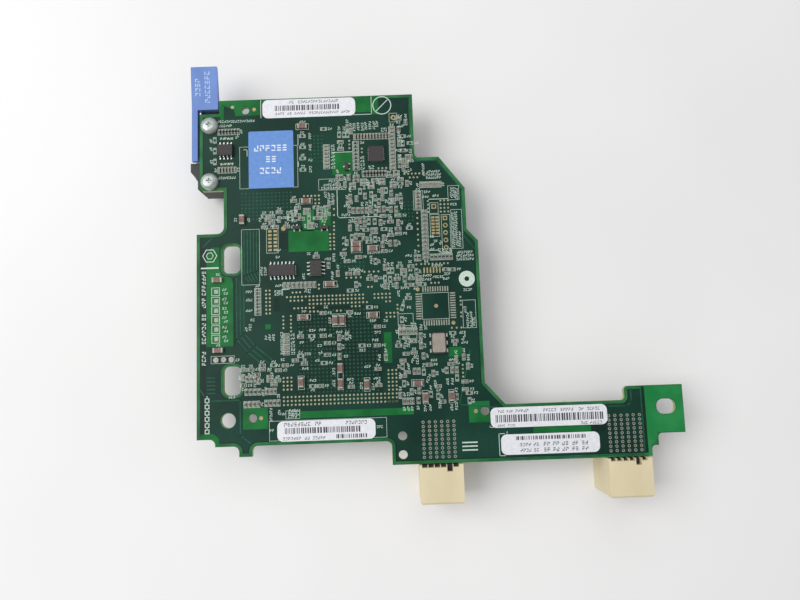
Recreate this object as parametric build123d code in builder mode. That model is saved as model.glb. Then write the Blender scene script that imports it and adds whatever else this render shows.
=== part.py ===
import os
from math import atan2, cos, hypot, radians, sin, sqrt

from build123d import *

# A plug-in network card: a large printed board with a long arm, two right-angle backplane
# connectors, a board-to-board connector, a release lever in its bracket, and chips on both sides.
# The origin is the centre of the locating hole, on the printed face. +X runs along the arm,
# +Y towards the lever and +Z out of the printed face. All lengths are in millimetres.

os.makedirs("parts", exist_ok=True)

# One overrun for every cut that goes right through
overrun = 1.0

# Circuit board: edges as distances from the locating hole
board_thickness = 1.6
left_edge = -10.3
right_edge = 84.0
top_edge = 108.6
foot_edge = -8.3
foot_left = -4.3
foot_step = -5.9
peg_left = 3.5
peg_right = 7.7
peg_bottom = -11.7
waist_edge = 62.0
neck_left = -1.15
tab_bottom = 76.9
tab_left = -9.3
tab_chamfer = 1.0
lever_notch_left = -2.6
lever_notch_bottom = 103.9
crown_right = 63.8
shoulder_edge = 86.1
shoulder_right = 72.0
upper_right = 80.4
shoulder_low = 75.0
step_high = 60.8
step_low = 56.8
slope_top = 9.4
slope_end = 90.4
arm_top = 2.2
arm_bottom = -15.9
arm_left = 53.0
ear_right = 148.2
ear_width = 19.0
ear_top = 6.7
ear_bottom = -8.7
ear_step_inset = 8.9
ear_step_width = 2.3
ear_step_height = -12.5
waist_fillet = 2.3
foot_fillet = 1.9
arm_left_fillet = 1.7
crown_fillet = 1.4
ear_fillet = 1.3
field_rise = 0.6

# Holes and slots in the board
datum_radius = 2.4
guide_hole_radius = 1.4
guide_hole_inset_x = 8.0
guide_hole_rise = 0.5
far_guide_hole_x = 83.6
far_guide_hole_y = 0.3
arm_hole_radius = 1.45
arm_hole_x = 56.5
arm_hole_high_y = -6.8
arm_hole_low_y = -12.8
crown_hole_radius = 1.35
crown_hole_x = 6.4
crown_hole_y = 104.8
slot_width = 5.8
slot_length = 9.4
slot_x = 1.4
upper_slot_y = 53.1
lower_slot_y = 12.8
slot_corner = 1.9
ear_slot_width = 6.2
ear_slot_height = 4.9
ear_slot_inset = 5.7
ear_slot_y = -0.25
ear_slot_corner = 2.2

# Paper labels on the printed face
label_thickness = 0.1
label_corner = 1.9
label_height = 6.5
label_length = 31.9
label_margin = 0.35
serial_label_left = 12.3
part_label_left = 15.9
part_label_rise = 1.0
arm_label_left = 85.3
arm_label_ear_gap = 6.0
arm_label_drop = 1.0
arm_lower_label_inset = 3.0
arm_lower_label_rise = 1.9
install_label_width = 15.3
install_label_height = 20.0
install_label_left = 7.4
install_label_bottom = 77.2
install_label_corner = 0.5

# Lever bracket, a black moulding under the tab
bracket_left = -10.4
bracket_right = -2.5
bracket_end = 77.2
bracket_depth = 8.9
bracket_wall = 1.3
bracket_recess = 0.8
bracket_shelf_length = 3.0
bracket_shelf_drop = 1.1
bracket_chamfer = 0.9
hood_left = -12.85
hood_front = 87.2
hood_shoulder = 84.2
hood_root = 81.1
boss_radius = 2.7
boss_height = 6.4
boss_bore_radius = 1.3

# Pan head screws that hold the bracket
screw_x = -5.75
upper_screw_y = 99.6
lower_screw_y = 80.0
screw_shank_radius = 1.25
screw_hole_radius = 1.6
screw_length = 6.6
screw_head_radius = 3.0
screw_head_height = 1.9
screw_head_bevel = 0.8
screw_cross_length = 3.2
screw_cross_width = 0.75
screw_cross_depth = 1.0

# Release lever and its pivot
pivot_y = 84.8
pivot_depth = 6.8
lever_travel = 30
lever_left = -11.95
lever_arm_width = 1.95
lever_cheek_width = 1.25
lever_cheek_end = 89.3
lever_hub_radius = 2.6
lever_stop_clearance = 0.15
lever_neck_drop = 0.15
lever_lip_gap = 0.3
lever_lip_clearance = 0.15
pad_start = 105.6
pad_end = 120.45
pad_right = -2.95
pad_rise = 1.3
pad_root_thickness = 2.4
pad_tip_thickness = 0.9
pad_corner = 0.25
toe_reach = 3.0
toe_drop = 3.7
toe_heel = 1.6
pin_radius = 1.25
pin_clearance = 0.05
pin_head_radius = 1.9
pin_head_thickness = 0.45
pin_head_gap = 0.1
pin_tail = 1.2

# Right-angle backplane connectors, six wafers of nine contacts each
left_connector_x = 68.3
right_connector_inset = 19.55
wafer_pitch = 2.0
wafer_count = 6
row_pitch = 1.4
row_count = 9
first_row_y = -2.6
connector_height = 13.4
housing_width = 14.0
housing_offset = 0.3
housing_rise = 3.8
housing_front = -28.4
housing_back_gap = 0.15
housing_wall = 1.3
housing_hood_length = 6.0
housing_hood_wall = 0.9
housing_face_depth = 9.0
housing_chamfer = 0.6
wafer_thickness = 1.8
wafer_standoff = 0.3
wafer_rear_margin = 1.1
wafer_front_gap = 0.3
wafer_bottom_gap = 0.4
wafer_bevel = 4.5
wafer_horn_length = 0.75
wafer_horn_gap = 0.1
wafer_horn_drop = 1.9
key_length = 2.1
key_width = 1.45
key_wafer = 4
contact_thickness = 0.35
contact_width = 0.5
beam_length = 7.0
socket_width = 1.2
socket_height = 0.7

# Board-to-board connector under the install label
stacking_x_share = 0.2598
stacking_y_share = 0.8059
stacking_width = 19.0
stacking_length = 14.0
stacking_columns = 10
stacking_rows = 6
stacking_pitch = 1.75
stacking_socket = 0.9
stacking_socket_depth = 3.5
stacking_rim = 1.0
stacking_rim_depth = 2.2
stacking_corner = 1.6
stacking_key_width = 3.0

# Fibre channel controller, a ball grid package with a finned heat sink
fibre_x_share = 0.5
fibre_y_share = 0.3111
fibre_width = 37.5
fibre_cap_width = 33.0
ball_height = 0.5
ball_width = 0.65
ball_pitch = 1.27
substrate_thickness = 0.6
cap_thickness = 1.15
cap_bevel = 0.5
thermal_pad_thickness = 0.3
heat_sink_width = 34.0
heat_sink_base = 1.5
heat_sink_fin_height = 5.0
heat_sink_fin_thickness = 0.9
heat_sink_fins = 12

# Network controller, a smaller ball grid package
network_x_share = 0.6341
network_y_share = 0.6400
network_width = 23.0
network_cap_width = 19.5

# Gull wing packages on the printed face: (name, x share, y share, leads a side, turned)
soic_places_shares = [
    ("sensor_chip", 0.1060, 0.8555, 4, 0),
    ("logic_chip", 0.3033, 0.5174, 7, 0),
    ("memory_chip", 0.4231, 0.5206, 4, 90),
]
soic_width = 3.9
soic_top = 1.55
soic_span = 6.0
soic_end_margin = 0.6
package_standoff = 0.15
package_draft = 8
lead_pitch = 1.27
lead_width = 0.42
lead_thickness = 0.2
lead_shoulder = 0.8
lead_run = 0.28
lead_foot = 0.65
pin_mark_radius = 0.35
pin_mark_depth = 0.1
pin_mark_margin = 0.75

# Small outline transistors: (x share, y share, turned)
sot_places_shares = [(0.4560, 0.6312, 0), (0.3584, 0.6328, 0), (0.5408, 0.7990, 90)]
sot_length = 2.9
sot_width = 1.3
sot_top = 1.1
sot_span = 2.4
sot_shoulder = 0.55
sot_foot = 0.3
sot_pitch = 1.9

# Clock chip without leads
clock_x_share = 0.6479
clock_y_share = 0.8313
clock_width = 5.2
clock_height = 0.75
clock_pad_width = 0.3
clock_pad_length = 0.5
clock_pad_thickness = 0.15
clock_pad_reach = 0.15
clock_pads = 7
clock_pad_pitch = 0.65

# Crystal oscillator with castellated sides
oscillator_x_share = 0.8455
oscillator_y_share = 0.3082
oscillator_width = 5.0
oscillator_length = 7.0
oscillator_height = 1.2
oscillator_corner = 0.5
oscillator_lid_thickness = 0.3
oscillator_lid_margin = 0.4
oscillator_lid_corner = 0.6
oscillator_pads = 3
oscillator_pad_reach = 0.45
oscillator_pad_width = 1.2
oscillator_pad_height = 0.9
oscillator_pad_pitch = 2.54

# Chip capacitors on the printed face: (x share, y share, turned)
capacitor_places_shares = [
    (0.3839, 0.9169, 0), (0.0742, 0.4972, 0), (0.0764, 0.3091, 0), (0.3934, 0.7054, 0),
    (0.5673, 0.5819, 0), (0.5673, 0.5674, 0), (0.6257, 0.5682, 0), (0.3765, 0.3890, 0),
    (0.4709, 0.4754, 0), (0.6193, 0.3882, 0), (0.4868, 0.3777, 90), (0.5111, 0.3777, 90),
    (0.3637, 0.2171, 90), (0.4995, 0.2510, 90), (0.4995, 0.2106, 90), (0.5907, 0.2058, 90),
    (0.7667, 0.2042, 0), (0.7922, 0.1663, 90), (0.8823, 0.1679, 90), (0.1633, 0.6602, 90),
]
capacitor_length = 3.2
capacitor_width = 1.6
capacitor_height = 1.3
capacitor_end = 0.5

# Header pins filled with solder
header_x_share = 0.0950
header_y_share = 0.2833
header_pitch = 2.54
header_pins = 3
header_pin_radius = 0.9
header_pin_height = 0.45

# Power inductors on the hidden face: (x share, y share)
inductor_places_shares = [(0.2850, 0.5980), (0.3640, 0.5980)]
inductor_width = 6.0
inductor_height = 3.2
inductor_corner = 1.2
inductor_foot_width = 2.2
inductor_foot_length = 1.6
inductor_foot_thickness = 0.25

# Tantalum capacitors on the hidden face: (x share, y share, turned)
tantalum_places_shares = [
    (0.4300, 0.9100, 0), (0.5400, 0.9100, 0), (0.6900, 0.9100, 0), (0.8900, 0.4700, 90),
]
tantalum_length = 7.3
tantalum_width = 4.3
tantalum_top = 2.9
tantalum_strip_thickness = 0.2
tantalum_strip_width = 2.4
tantalum_strip_length = 1.3

# Flash memory and crystal on the hidden face
flash_x_share = 0.8600
flash_y_share = 0.6000
flash_lead_count = 8
flash_width = 7.5
flash_span = 10.3
flash_top = 2.4
crystal_x_share = 0.8300
crystal_y_share = 0.3200
crystal_width = 3.2
crystal_length = 5.0
crystal_height = 1.1
crystal_corner = 0.5

# Levels and places worked out from the sizes above
ear_left = ear_right - ear_width
ear_step_right = ear_right - ear_step_inset
ear_step_left = ear_step_right - ear_step_width
ear_slot_x = ear_right - ear_slot_inset
underside = -board_thickness
standing_level = underside - connector_height
pivot_level = -pivot_depth
field_width = right_edge - left_edge
field_bottom = arm_bottom + field_rise
field_height = top_edge - field_bottom


def spot(x_share, y_share):
    """Place on the board's main field, from shares of its width and height."""
    return (left_edge + x_share * field_width, field_bottom + y_share * field_height)


def save(part, name):
    """Label one finished piece and write its STEP file."""
    part.label = name
    export_step(part, f"parts/{name}.step")


# Circuit board: the corners of the outline, clockwise from the lower left, with their fillets
outline_corners = [
    (left_edge, foot_step, 0),
    (left_edge, waist_edge, 0),
    (neck_left, waist_edge, waist_fillet),
    (neck_left, tab_bottom, 0),
    (tab_left + tab_chamfer, tab_bottom, 0),
    (tab_left, tab_bottom + tab_chamfer, 0),
    (tab_left, lever_notch_bottom, 0),
    (lever_notch_left, lever_notch_bottom, 0),
    (lever_notch_left, top_edge, 0),
    (crown_right, top_edge, 0),
    (crown_right, shoulder_edge, crown_fillet),
    (shoulder_right, shoulder_edge, 0),
    (upper_right, shoulder_low, 0),
    (upper_right, step_high, 0),
    (right_edge, step_low, 0),
    (right_edge, slope_top, 0),
    (slope_end, arm_top, 0),
    (ear_left, arm_top, ear_fillet),
    (ear_left, ear_top, ear_fillet),
    (ear_right, ear_top, 0),
    (ear_right, ear_bottom, 0),
    (ear_step_right, ear_bottom, ear_fillet),
    (ear_step_right, ear_step_height, 0),
    (ear_step_left, ear_step_height, ear_fillet),
    (ear_step_left, arm_bottom, 0),
    (arm_left, arm_bottom, 0),
    (arm_left, foot_edge, arm_left_fillet),
    (peg_right, foot_edge, foot_fillet),
    (peg_right, peg_bottom, 0),
    (peg_left, peg_bottom, 0),
    (peg_left, foot_edge, foot_fillet),
    (foot_left, foot_edge, 0),
    (foot_left, foot_step, foot_fillet),
]
round_holes = [
    (0, 0, datum_radius),
    (guide_hole_inset_x, guide_hole_rise, guide_hole_radius),
    (far_guide_hole_x, far_guide_hole_y, guide_hole_radius),
    (arm_hole_x, arm_hole_high_y, arm_hole_radius),
    (arm_hole_x, arm_hole_low_y, arm_hole_radius),
    (crown_hole_x, crown_hole_y, crown_hole_radius),
    (screw_x, upper_screw_y, screw_hole_radius),
    (screw_x, lower_screw_y, screw_hole_radius),
]

with BuildPart() as circuit_board:
    with BuildSketch(Plane.XY.offset(underside)):
        with BuildLine():
            FilletPolyline(
                [(x, y) for x, y, fillet_radius in outline_corners],
                radius=[fillet_radius for x, y, fillet_radius in outline_corners],
                close=True,
            )
        make_face()
        for x, y, radius in round_holes:
            with Locations((x, y)):
                Circle(radius, mode=Mode.SUBTRACT)
        with Locations((slot_x, upper_slot_y), (slot_x, lower_slot_y)):
            RectangleRounded(slot_width, slot_length, slot_corner, mode=Mode.SUBTRACT)
        with Locations((ear_slot_x, ear_slot_y)):
            RectangleRounded(ear_slot_width, ear_slot_height, ear_slot_corner, mode=Mode.SUBTRACT)
    extrude(amount=board_thickness)
save(circuit_board.part, "circuit_board")


def make_label(name, left, bottom, width, height, corner):
    """One paper label with rounded corners, stuck to the printed face."""
    with BuildPart() as label:
        with BuildSketch(Plane.XY):
            with Locations((left + width / 2, bottom + height / 2)):
                RectangleRounded(width, height, corner)
        extrude(amount=label_thickness)
    save(label.part, name)


arm_label_bottom = arm_top - arm_label_drop - label_height
arm_upper_label_length = ear_left - arm_label_ear_gap - arm_label_left
arm_lower_label_length = arm_upper_label_length - 2 * arm_lower_label_inset
make_label(
    "serial_label", serial_label_left, top_edge - label_margin - label_height,
    label_length, label_height, label_corner,
)
make_label(
    "part_label", part_label_left, foot_edge + part_label_rise,
    label_length, label_height, label_corner,
)
make_label(
    "arm_upper_label", arm_label_left, arm_label_bottom,
    arm_upper_label_length, label_height, label_corner,
)
make_label(
    "arm_lower_label", arm_label_left + arm_lower_label_inset, arm_bottom + arm_lower_label_rise,
    arm_lower_label_length, label_height, label_corner,
)
make_label(
    "install_label", install_label_left, install_label_bottom,
    install_label_width, install_label_height, install_label_corner,
)

# Lever bracket: a moulding open underneath, with a hood over the lever's pivot
bracket_floor = underside - bracket_depth
bracket_inner_level = underside - bracket_wall
shelf_end = lever_notch_bottom + bracket_shelf_length
recess_wall_left = bracket_left + bracket_recess
screw_places = [(screw_x, upper_screw_y), (screw_x, lower_screw_y)]

with BuildPart() as lever_bracket:
    with BuildSketch(Plane.XY.offset(underside)):
        with BuildLine():
            Polyline(
                (bracket_left + bracket_chamfer, bracket_end),
                (bracket_right, bracket_end),
                (bracket_right, lever_notch_bottom),
                (recess_wall_left, lever_notch_bottom),
                (recess_wall_left, hood_front),
                (bracket_left, hood_front),
                (bracket_left, bracket_end + bracket_chamfer),
                close=True,
            )
        make_face()
    extrude(amount=-bracket_depth)
    with BuildSketch(Plane.XY.offset(underside - bracket_shelf_drop)):
        with Locations(((recess_wall_left + bracket_right) / 2, lever_notch_bottom)):
            Rectangle(
                bracket_right - recess_wall_left, bracket_shelf_length,
                align=(Align.CENTER, Align.MIN),
            )
    extrude(amount=-(bracket_depth - bracket_shelf_drop))
    with BuildSketch(Plane.XY.offset(underside)):
        with BuildLine():
            Polyline(
                (bracket_left, hood_root),
                (hood_left, hood_shoulder),
                (hood_left, hood_front),
                (bracket_left, hood_front),
                close=True,
            )
        make_face()
    extrude(amount=-bracket_wall)
    with BuildSketch(Plane.XY.offset(bracket_floor)):
        with BuildLine():
            Polyline(
                (bracket_left + bracket_recess + bracket_wall, bracket_end + bracket_wall),
                (bracket_right - bracket_wall, bracket_end + bracket_wall),
                (bracket_right - bracket_wall, shelf_end - bracket_wall),
                (bracket_left + bracket_recess + bracket_wall, shelf_end - bracket_wall),
                close=True,
            )
        make_face()
    extrude(amount=bracket_depth - bracket_shelf_drop - bracket_wall, mode=Mode.SUBTRACT)
    with BuildSketch(Plane.XY.offset(bracket_inner_level)):
        with Locations(*screw_places):
            Circle(boss_radius)
    extrude(amount=-boss_height)
    with BuildSketch(Plane.XY.offset(underside)):
        with Locations(*screw_places):
            Circle(boss_bore_radius)
    extrude(amount=-(bracket_wall + boss_height), mode=Mode.SUBTRACT)
    with BuildSketch(Plane.YZ.offset(bracket_left)):
        with Locations((pivot_y, pivot_level)):
            Circle(pin_radius)
    extrude(amount=bracket_recess + bracket_wall, mode=Mode.SUBTRACT)
save(lever_bracket.part, "lever_bracket")

# Screws: a bevelled pan head with a cross recess and a plain shank
with BuildPart() as bracket_screws:
    with BuildSketch(Plane.XY.offset(-screw_length)):
        with Locations(*screw_places):
            Circle(screw_shank_radius)
    extrude(amount=screw_length)
    for screw_place in screw_places:
        with BuildSketch(Plane.XY):
            with Locations(screw_place):
                Circle(screw_head_radius)
        extrude(amount=screw_head_height)
    head_rims = bracket_screws.edges().filter_by(GeomType.CIRCLE).group_by(Axis.Z)[-1]
    chamfer(head_rims, screw_head_bevel)
    with BuildSketch(Plane.XY.offset(screw_head_height)):
        with Locations(*screw_places):
            Rectangle(screw_cross_length, screw_cross_width)
            Rectangle(screw_cross_width, screw_cross_length)
    extrude(amount=-screw_cross_depth, mode=Mode.SUBTRACT)
save(bracket_screws.part, "bracket_screws")

# Release lever: its side profile is drawn about the pivot. The stop face is the hood's front face
# turned back by the lever's travel, so the lever meets the hood flat at the end of its swing. Above
# it a lip, cut away along an arc about the pivot, passes over the hood's front corner.
stop_angle = radians(lever_travel)
hood_reach = hood_front - pivot_y
hood_low = bracket_inner_level - pivot_level
hood_high = underside - pivot_level
lever_top = -pivot_level


def turned_back(reach, height):
    """A point of the hood's front face, turned back by the travel and moved clear of it."""
    along = reach * cos(stop_angle) + height * sin(stop_angle) + lever_stop_clearance * cos(stop_angle)
    up = height * cos(stop_angle) - reach * sin(stop_angle) - lever_stop_clearance * sin(stop_angle)
    return (along, up)


stop_low = turned_back(hood_reach, hood_low)
lip_radius = hypot(hood_reach, hood_high) + lever_lip_clearance
lip_reach = hood_reach + lever_lip_gap
lip_start = turned_back(hood_reach, sqrt(lip_radius**2 - (hood_reach + lever_stop_clearance) ** 2))
lip_end = (lip_reach, sqrt(lip_radius**2 - lip_reach**2))
lip_angle = (atan2(lip_start[1], lip_start[0]) + atan2(lip_end[1], lip_end[0])) / 2
lip_middle = (lip_radius * cos(lip_angle), lip_radius * sin(lip_angle))
pad_start_reach = pad_start - pivot_y
pad_end_reach = pad_end - pivot_y
lever_side = Plane(origin=(lever_left, pivot_y, pivot_level), x_dir=(0, 1, 0), z_dir=(1, 0, 0))

with BuildPart() as release_lever:
    with BuildSketch(lever_side):
        with BuildLine():
            Polyline(
                (0, -lever_hub_radius),
                (0, stop_low[1] - lever_neck_drop),
                (stop_low[0], stop_low[1] - lever_neck_drop),
                stop_low,
                lip_start,
            )
            ThreePointArc(lip_start, lip_middle, lip_end)
            Polyline(
                lip_end,
                (lip_reach, lever_top),
                (pad_start_reach, lever_top),
                (pad_end_reach, lever_top + pad_rise),
                (pad_end_reach, lever_top + pad_rise - pad_tip_thickness),
                (pad_start_reach, lever_top - pad_root_thickness),
                (0, -lever_hub_radius),
            )
        make_face()
        Circle(lever_hub_radius)
        with BuildLine():
            Polyline(
                (-lever_hub_radius / 2, lever_hub_radius / 2),
                (-toe_reach, -toe_reach / 2),
                (-toe_reach, -toe_drop + toe_heel / 2),
                (-toe_reach + toe_heel, -toe_drop),
                (0, -toe_drop),
                (toe_heel, -lever_hub_radius / 2),
                close=True,
            )
        make_face()
        Circle(pin_radius + pin_clearance, mode=Mode.SUBTRACT)
    extrude(amount=lever_arm_width)
    with BuildSketch(lever_side):
        with BuildLine():
            Polyline(
                (pad_start_reach, lever_top),
                (pad_end_reach, lever_top + pad_rise),
                (pad_end_reach, lever_top + pad_rise - pad_tip_thickness),
                (pad_start_reach, lever_top - pad_root_thickness),
                close=True,
            )
        make_face()
    extrude(amount=pad_right - lever_left)
    with BuildSketch(Plane.XY.offset(standing_level)):
        with Locations((lever_left + lever_cheek_width, lever_cheek_end)):
            Rectangle(
                lever_arm_width, lever_cheek_end - pivot_y + toe_reach + overrun,
                align=(Align.MIN, Align.MAX),
            )
    extrude(amount=underside + lever_lip_clearance - standing_level, mode=Mode.SUBTRACT)
    pad_corners = release_lever.edges().filter_by(Axis.Z).group_by(Axis.Y)[-1]
    fillet(pad_corners, pad_corner)
save(release_lever.part, "release_lever")

# Pivot pin: a rivet with a thin head, pressed into the bracket's wall
pin_head_face = lever_left - pin_head_gap
with BuildPart() as lever_pin:
    with BuildSketch(Plane.YZ.offset(pin_head_face)):
        with Locations((pivot_y, pivot_level)):
            Circle(pin_radius)
    extrude(amount=bracket_left + bracket_recess + bracket_wall + pin_tail - pin_head_face)
    with BuildSketch(Plane.YZ.offset(pin_head_face)):
        with Locations((pivot_y, pivot_level)):
            Circle(pin_head_radius)
    extrude(amount=-pin_head_thickness)
save(lever_pin.part, "lever_pin")

# Backplane connectors
housing_top = underside + housing_rise
housing_back = arm_bottom - housing_back_gap
cavity_front = housing_front + housing_face_depth
stack_half_width = (wafer_count - 1) * wafer_pitch / 2 + wafer_thickness / 2
cavity_width = (stack_half_width + wafer_front_gap) * 2
wafer_top = underside - wafer_standoff
wafer_bottom = standing_level + housing_hood_wall + wafer_bottom_gap
socket_level = (wafer_top + wafer_bottom) / 2
wafer_rear = first_row_y + wafer_rear_margin
row_middle_y = first_row_y - (row_count - 1) * row_pitch / 2
wafer_offsets = [(index - (wafer_count - 1) / 2) * wafer_pitch for index in range(wafer_count)]


def make_housing(name, centre_x):
    """Connector housing: a block with a wafer cavity behind and 54 sockets in its mating face."""
    with BuildPart() as housing:
        with BuildSketch(Plane.XZ.offset(-housing_front)):
            with Locations((centre_x + housing_offset, standing_level)):
                Rectangle(
                    housing_width, housing_top - standing_level, align=(Align.CENTER, Align.MIN),
                )
        extrude(amount=-(housing_back - housing_front))
        chamfer(housing.faces().sort_by(Axis.Y)[0].edges(), housing_chamfer)
        with BuildSketch(Plane.XZ.offset(-housing_back)):
            with Locations((centre_x + housing_offset, standing_level)):
                Rectangle(
                    housing_width, connector_height - wafer_standoff, align=(Align.CENTER, Align.MIN),
                )
        extrude(amount=-housing_hood_length)
        with BuildSketch(Plane.XZ.offset(-cavity_front)):
            with Locations((centre_x, standing_level + housing_hood_wall)):
                Rectangle(
                    cavity_width, underside - standing_level - housing_hood_wall,
                    align=(Align.CENTER, Align.MIN),
                )
        extrude(
            amount=-(housing_back + housing_hood_length + overrun - cavity_front),
            mode=Mode.SUBTRACT,
        )
        with BuildSketch(Plane.XZ.offset(-housing_front)):
            with Locations((centre_x, socket_level)):
                with GridLocations(wafer_pitch, row_pitch, wafer_count, row_count):
                    Rectangle(socket_width, socket_height)
        extrude(amount=-(housing_face_depth + overrun), mode=Mode.SUBTRACT)
        with BuildSketch(Plane.XY.offset(housing_top)):
            for index, offset in enumerate(wafer_offsets):
                notch_length = key_length if index == key_wafer else wafer_horn_length
                with Locations((centre_x + offset, housing_back)):
                    Rectangle(
                        wafer_thickness, notch_length + wafer_horn_gap,
                        align=(Align.CENTER, Align.MAX),
                    )
        extrude(amount=-housing_rise, mode=Mode.SUBTRACT)
    save(housing.part, name)


def make_wafers(name, centre_x):
    """Six moulded wafers. Each has a horn in the housing's edge, and one carries the key."""
    with BuildPart() as wafers:
        for index, offset in enumerate(wafer_offsets):
            wafer_side = Plane(
                origin=(centre_x + offset - wafer_thickness / 2, wafer_rear, wafer_top),
                x_dir=(0, 1, 0), z_dir=(1, 0, 0),
            )
            front_length = wafer_rear - cavity_front - wafer_front_gap
            depth = wafer_top - wafer_bottom
            with BuildSketch(wafer_side):
                with BuildLine():
                    Polyline(
                        (0, 0),
                        (-front_length, 0),
                        (-front_length, -depth),
                        (-wafer_bevel, -depth),
                        (0, -depth + wafer_bevel),
                        close=True,
                    )
                make_face()
            extrude(amount=wafer_thickness)
            horn_length = key_length if index == key_wafer else wafer_horn_length
            horn_width = key_width if index == key_wafer else wafer_thickness - wafer_horn_gap
            with BuildSketch(Plane.XY.offset(wafer_top)):
                with Locations((centre_x + offset, housing_back - wafer_horn_gap)):
                    Rectangle(
                        horn_width, horn_length - wafer_horn_gap,
                        align=(Align.CENTER, Align.MAX),
                    )
            extrude(amount=housing_top - wafer_horn_drop - wafer_top)
    save(wafers.part, name)


def make_contacts(name, centre_x):
    """Contact ends: press-fit tails above the wafers and spring beams in the sockets."""
    with BuildPart() as contacts:
        with BuildSketch(Plane.XY.offset(wafer_top)):
            with Locations((centre_x, row_middle_y)):
                with GridLocations(wafer_pitch, row_pitch, wafer_count, row_count):
                    Rectangle(contact_thickness, contact_width)
        extrude(amount=wafer_standoff)
        with BuildSketch(Plane.XZ.offset(-(cavity_front + wafer_front_gap))):
            with Locations((centre_x, socket_level)):
                with GridLocations(wafer_pitch, row_pitch, wafer_count, row_count):
                    Rectangle(contact_thickness, contact_width)
        extrude(amount=beam_length)
    save(contacts.part, name)


right_connector_x = ear_right - right_connector_inset
for side, centre_x in (("left", left_connector_x), ("right", right_connector_x)):
    make_housing(f"{side}_backplane_housing", centre_x)
    make_wafers(f"{side}_backplane_wafers", centre_x)
    make_contacts(f"{side}_backplane_contacts", centre_x)

# Board-to-board connector: a keyed shell around a field of sockets
stacking_x, stacking_y = spot(stacking_x_share, stacking_y_share)
rim_level = standing_level + stacking_rim_depth

with BuildPart() as stacking_housing:
    with BuildSketch(Plane.XY.offset(underside)):
        with Locations((stacking_x, stacking_y)):
            Rectangle(stacking_width, stacking_length)
    extrude(amount=-connector_height)
    upright_edges = stacking_housing.edges().filter_by(Axis.Z).group_by(Axis.X)[0].sort_by(Axis.Y)
    chamfer(upright_edges[-1], stacking_corner)
    with BuildSketch(Plane.XY.offset(standing_level)):
        with Locations((stacking_x, stacking_y)):
            Rectangle(stacking_width - stacking_rim * 2, stacking_length - stacking_rim * 2)
            Rectangle(stacking_key_width, stacking_length + overrun, mode=Mode.ADD)
    extrude(amount=stacking_rim_depth, mode=Mode.SUBTRACT)
    with BuildSketch(Plane.XY.offset(rim_level)):
        with Locations((stacking_x, stacking_y)):
            with GridLocations(stacking_pitch, stacking_pitch, stacking_columns, stacking_rows):
                Rectangle(stacking_socket, stacking_socket)
    extrude(amount=stacking_socket_depth, mode=Mode.SUBTRACT)
save(stacking_housing.part, "stacking_connector_housing")

with BuildPart() as stacking_contacts:
    with BuildSketch(Plane.XY.offset(rim_level + stacking_socket_depth)):
        with Locations((stacking_x, stacking_y)):
            with GridLocations(stacking_pitch, stacking_pitch, stacking_columns, stacking_rows):
                Rectangle(contact_thickness, contact_width)
    extrude(amount=-stacking_socket_depth)
save(stacking_contacts.part, "stacking_connector_contacts")


def make_plate(name, x, y, top_level, width, thickness, bevel=0):
    """A square plate hung below a level, with its lower edges bevelled."""
    with BuildPart() as plate:
        with BuildSketch(Plane.XY.offset(top_level)):
            with Locations((x, y)):
                Rectangle(width, width)
        extrude(amount=-thickness)
        if bevel > 0:
            chamfer(plate.faces().sort_by(Axis.Z)[0].edges(), bevel)
    save(plate.part, name)


# Fibre channel controller and network controller, with the outer ring of their solder balls
fibre_x, fibre_y = spot(fibre_x_share, fibre_y_share)
network_x, network_y = spot(network_x_share, network_y_share)
substrate_level = underside - ball_height
cap_level = substrate_level - substrate_thickness
pad_level = cap_level - cap_thickness
sink_level = pad_level - thermal_pad_thickness
controllers = [
    ("fibre_controller", fibre_x, fibre_y, fibre_width, fibre_cap_width),
    ("network_controller", network_x, network_y, network_width, network_cap_width),
]


def make_balls(name, x, y, width):
    """The outer ring of solder balls, drawn as short square posts."""
    count = int((width - ball_pitch) / ball_pitch) + 1
    reach = (count - 1) * ball_pitch / 2
    along = [index * ball_pitch - reach for index in range(count)]
    ring = [(x + step, y + edge) for step in along for edge in (-reach, reach)]
    ring += [(x + edge, y + step) for step in along[1:-1] for edge in (-reach, reach)]
    with BuildPart() as balls:
        with BuildSketch(Plane.XY.offset(underside)):
            with Locations(*ring):
                Rectangle(ball_width, ball_width)
        extrude(amount=-ball_height)
    save(balls.part, name)


for controller, x, y, width, cap_width in controllers:
    make_balls(f"{controller}_balls", x, y, width)
    make_plate(f"{controller}_substrate", x, y, substrate_level, width, substrate_thickness)
    make_plate(f"{controller}_cap", x, y, cap_level, cap_width, cap_thickness, cap_bevel)
thermal_pad_width = fibre_cap_width - cap_bevel * 2
make_plate("thermal_pad", fibre_x, fibre_y, pad_level, thermal_pad_width, thermal_pad_thickness)

# Heat sink: a base plate with straight fins
fin_pitch = (heat_sink_width - heat_sink_fin_thickness) / (heat_sink_fins - 1)
with BuildPart() as heat_sink:
    with BuildSketch(Plane.XY.offset(sink_level)):
        with Locations((fibre_x, fibre_y)):
            Rectangle(heat_sink_width, heat_sink_width)
    extrude(amount=-heat_sink_base)
    with BuildSketch(Plane.XY.offset(sink_level - heat_sink_base)):
        with Locations((fibre_x, fibre_y)):
            with GridLocations(fin_pitch, 0, heat_sink_fins, 1):
                Rectangle(heat_sink_fin_thickness, heat_sink_width)
    extrude(amount=-heat_sink_fin_height)
save(heat_sink.part, "heat_sink")


def seat(x_share, y_share, turned=0, hidden=False):
    """Plane on which a part is soldered: the printed face, or the hidden face looking down."""
    x, y = spot(x_share, y_share)
    level = underside if hidden else 0
    along = (cos(radians(turned)), sin(radians(turned)), 0)
    return Plane(origin=(x, y, level), x_dir=along, z_dir=(0, 0, -1 if hidden else 1))


def spread(count, pitch):
    """Offsets of a row of equal steps about its middle."""
    return [(index - (count - 1) / 2) * pitch for index in range(count)]


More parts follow.
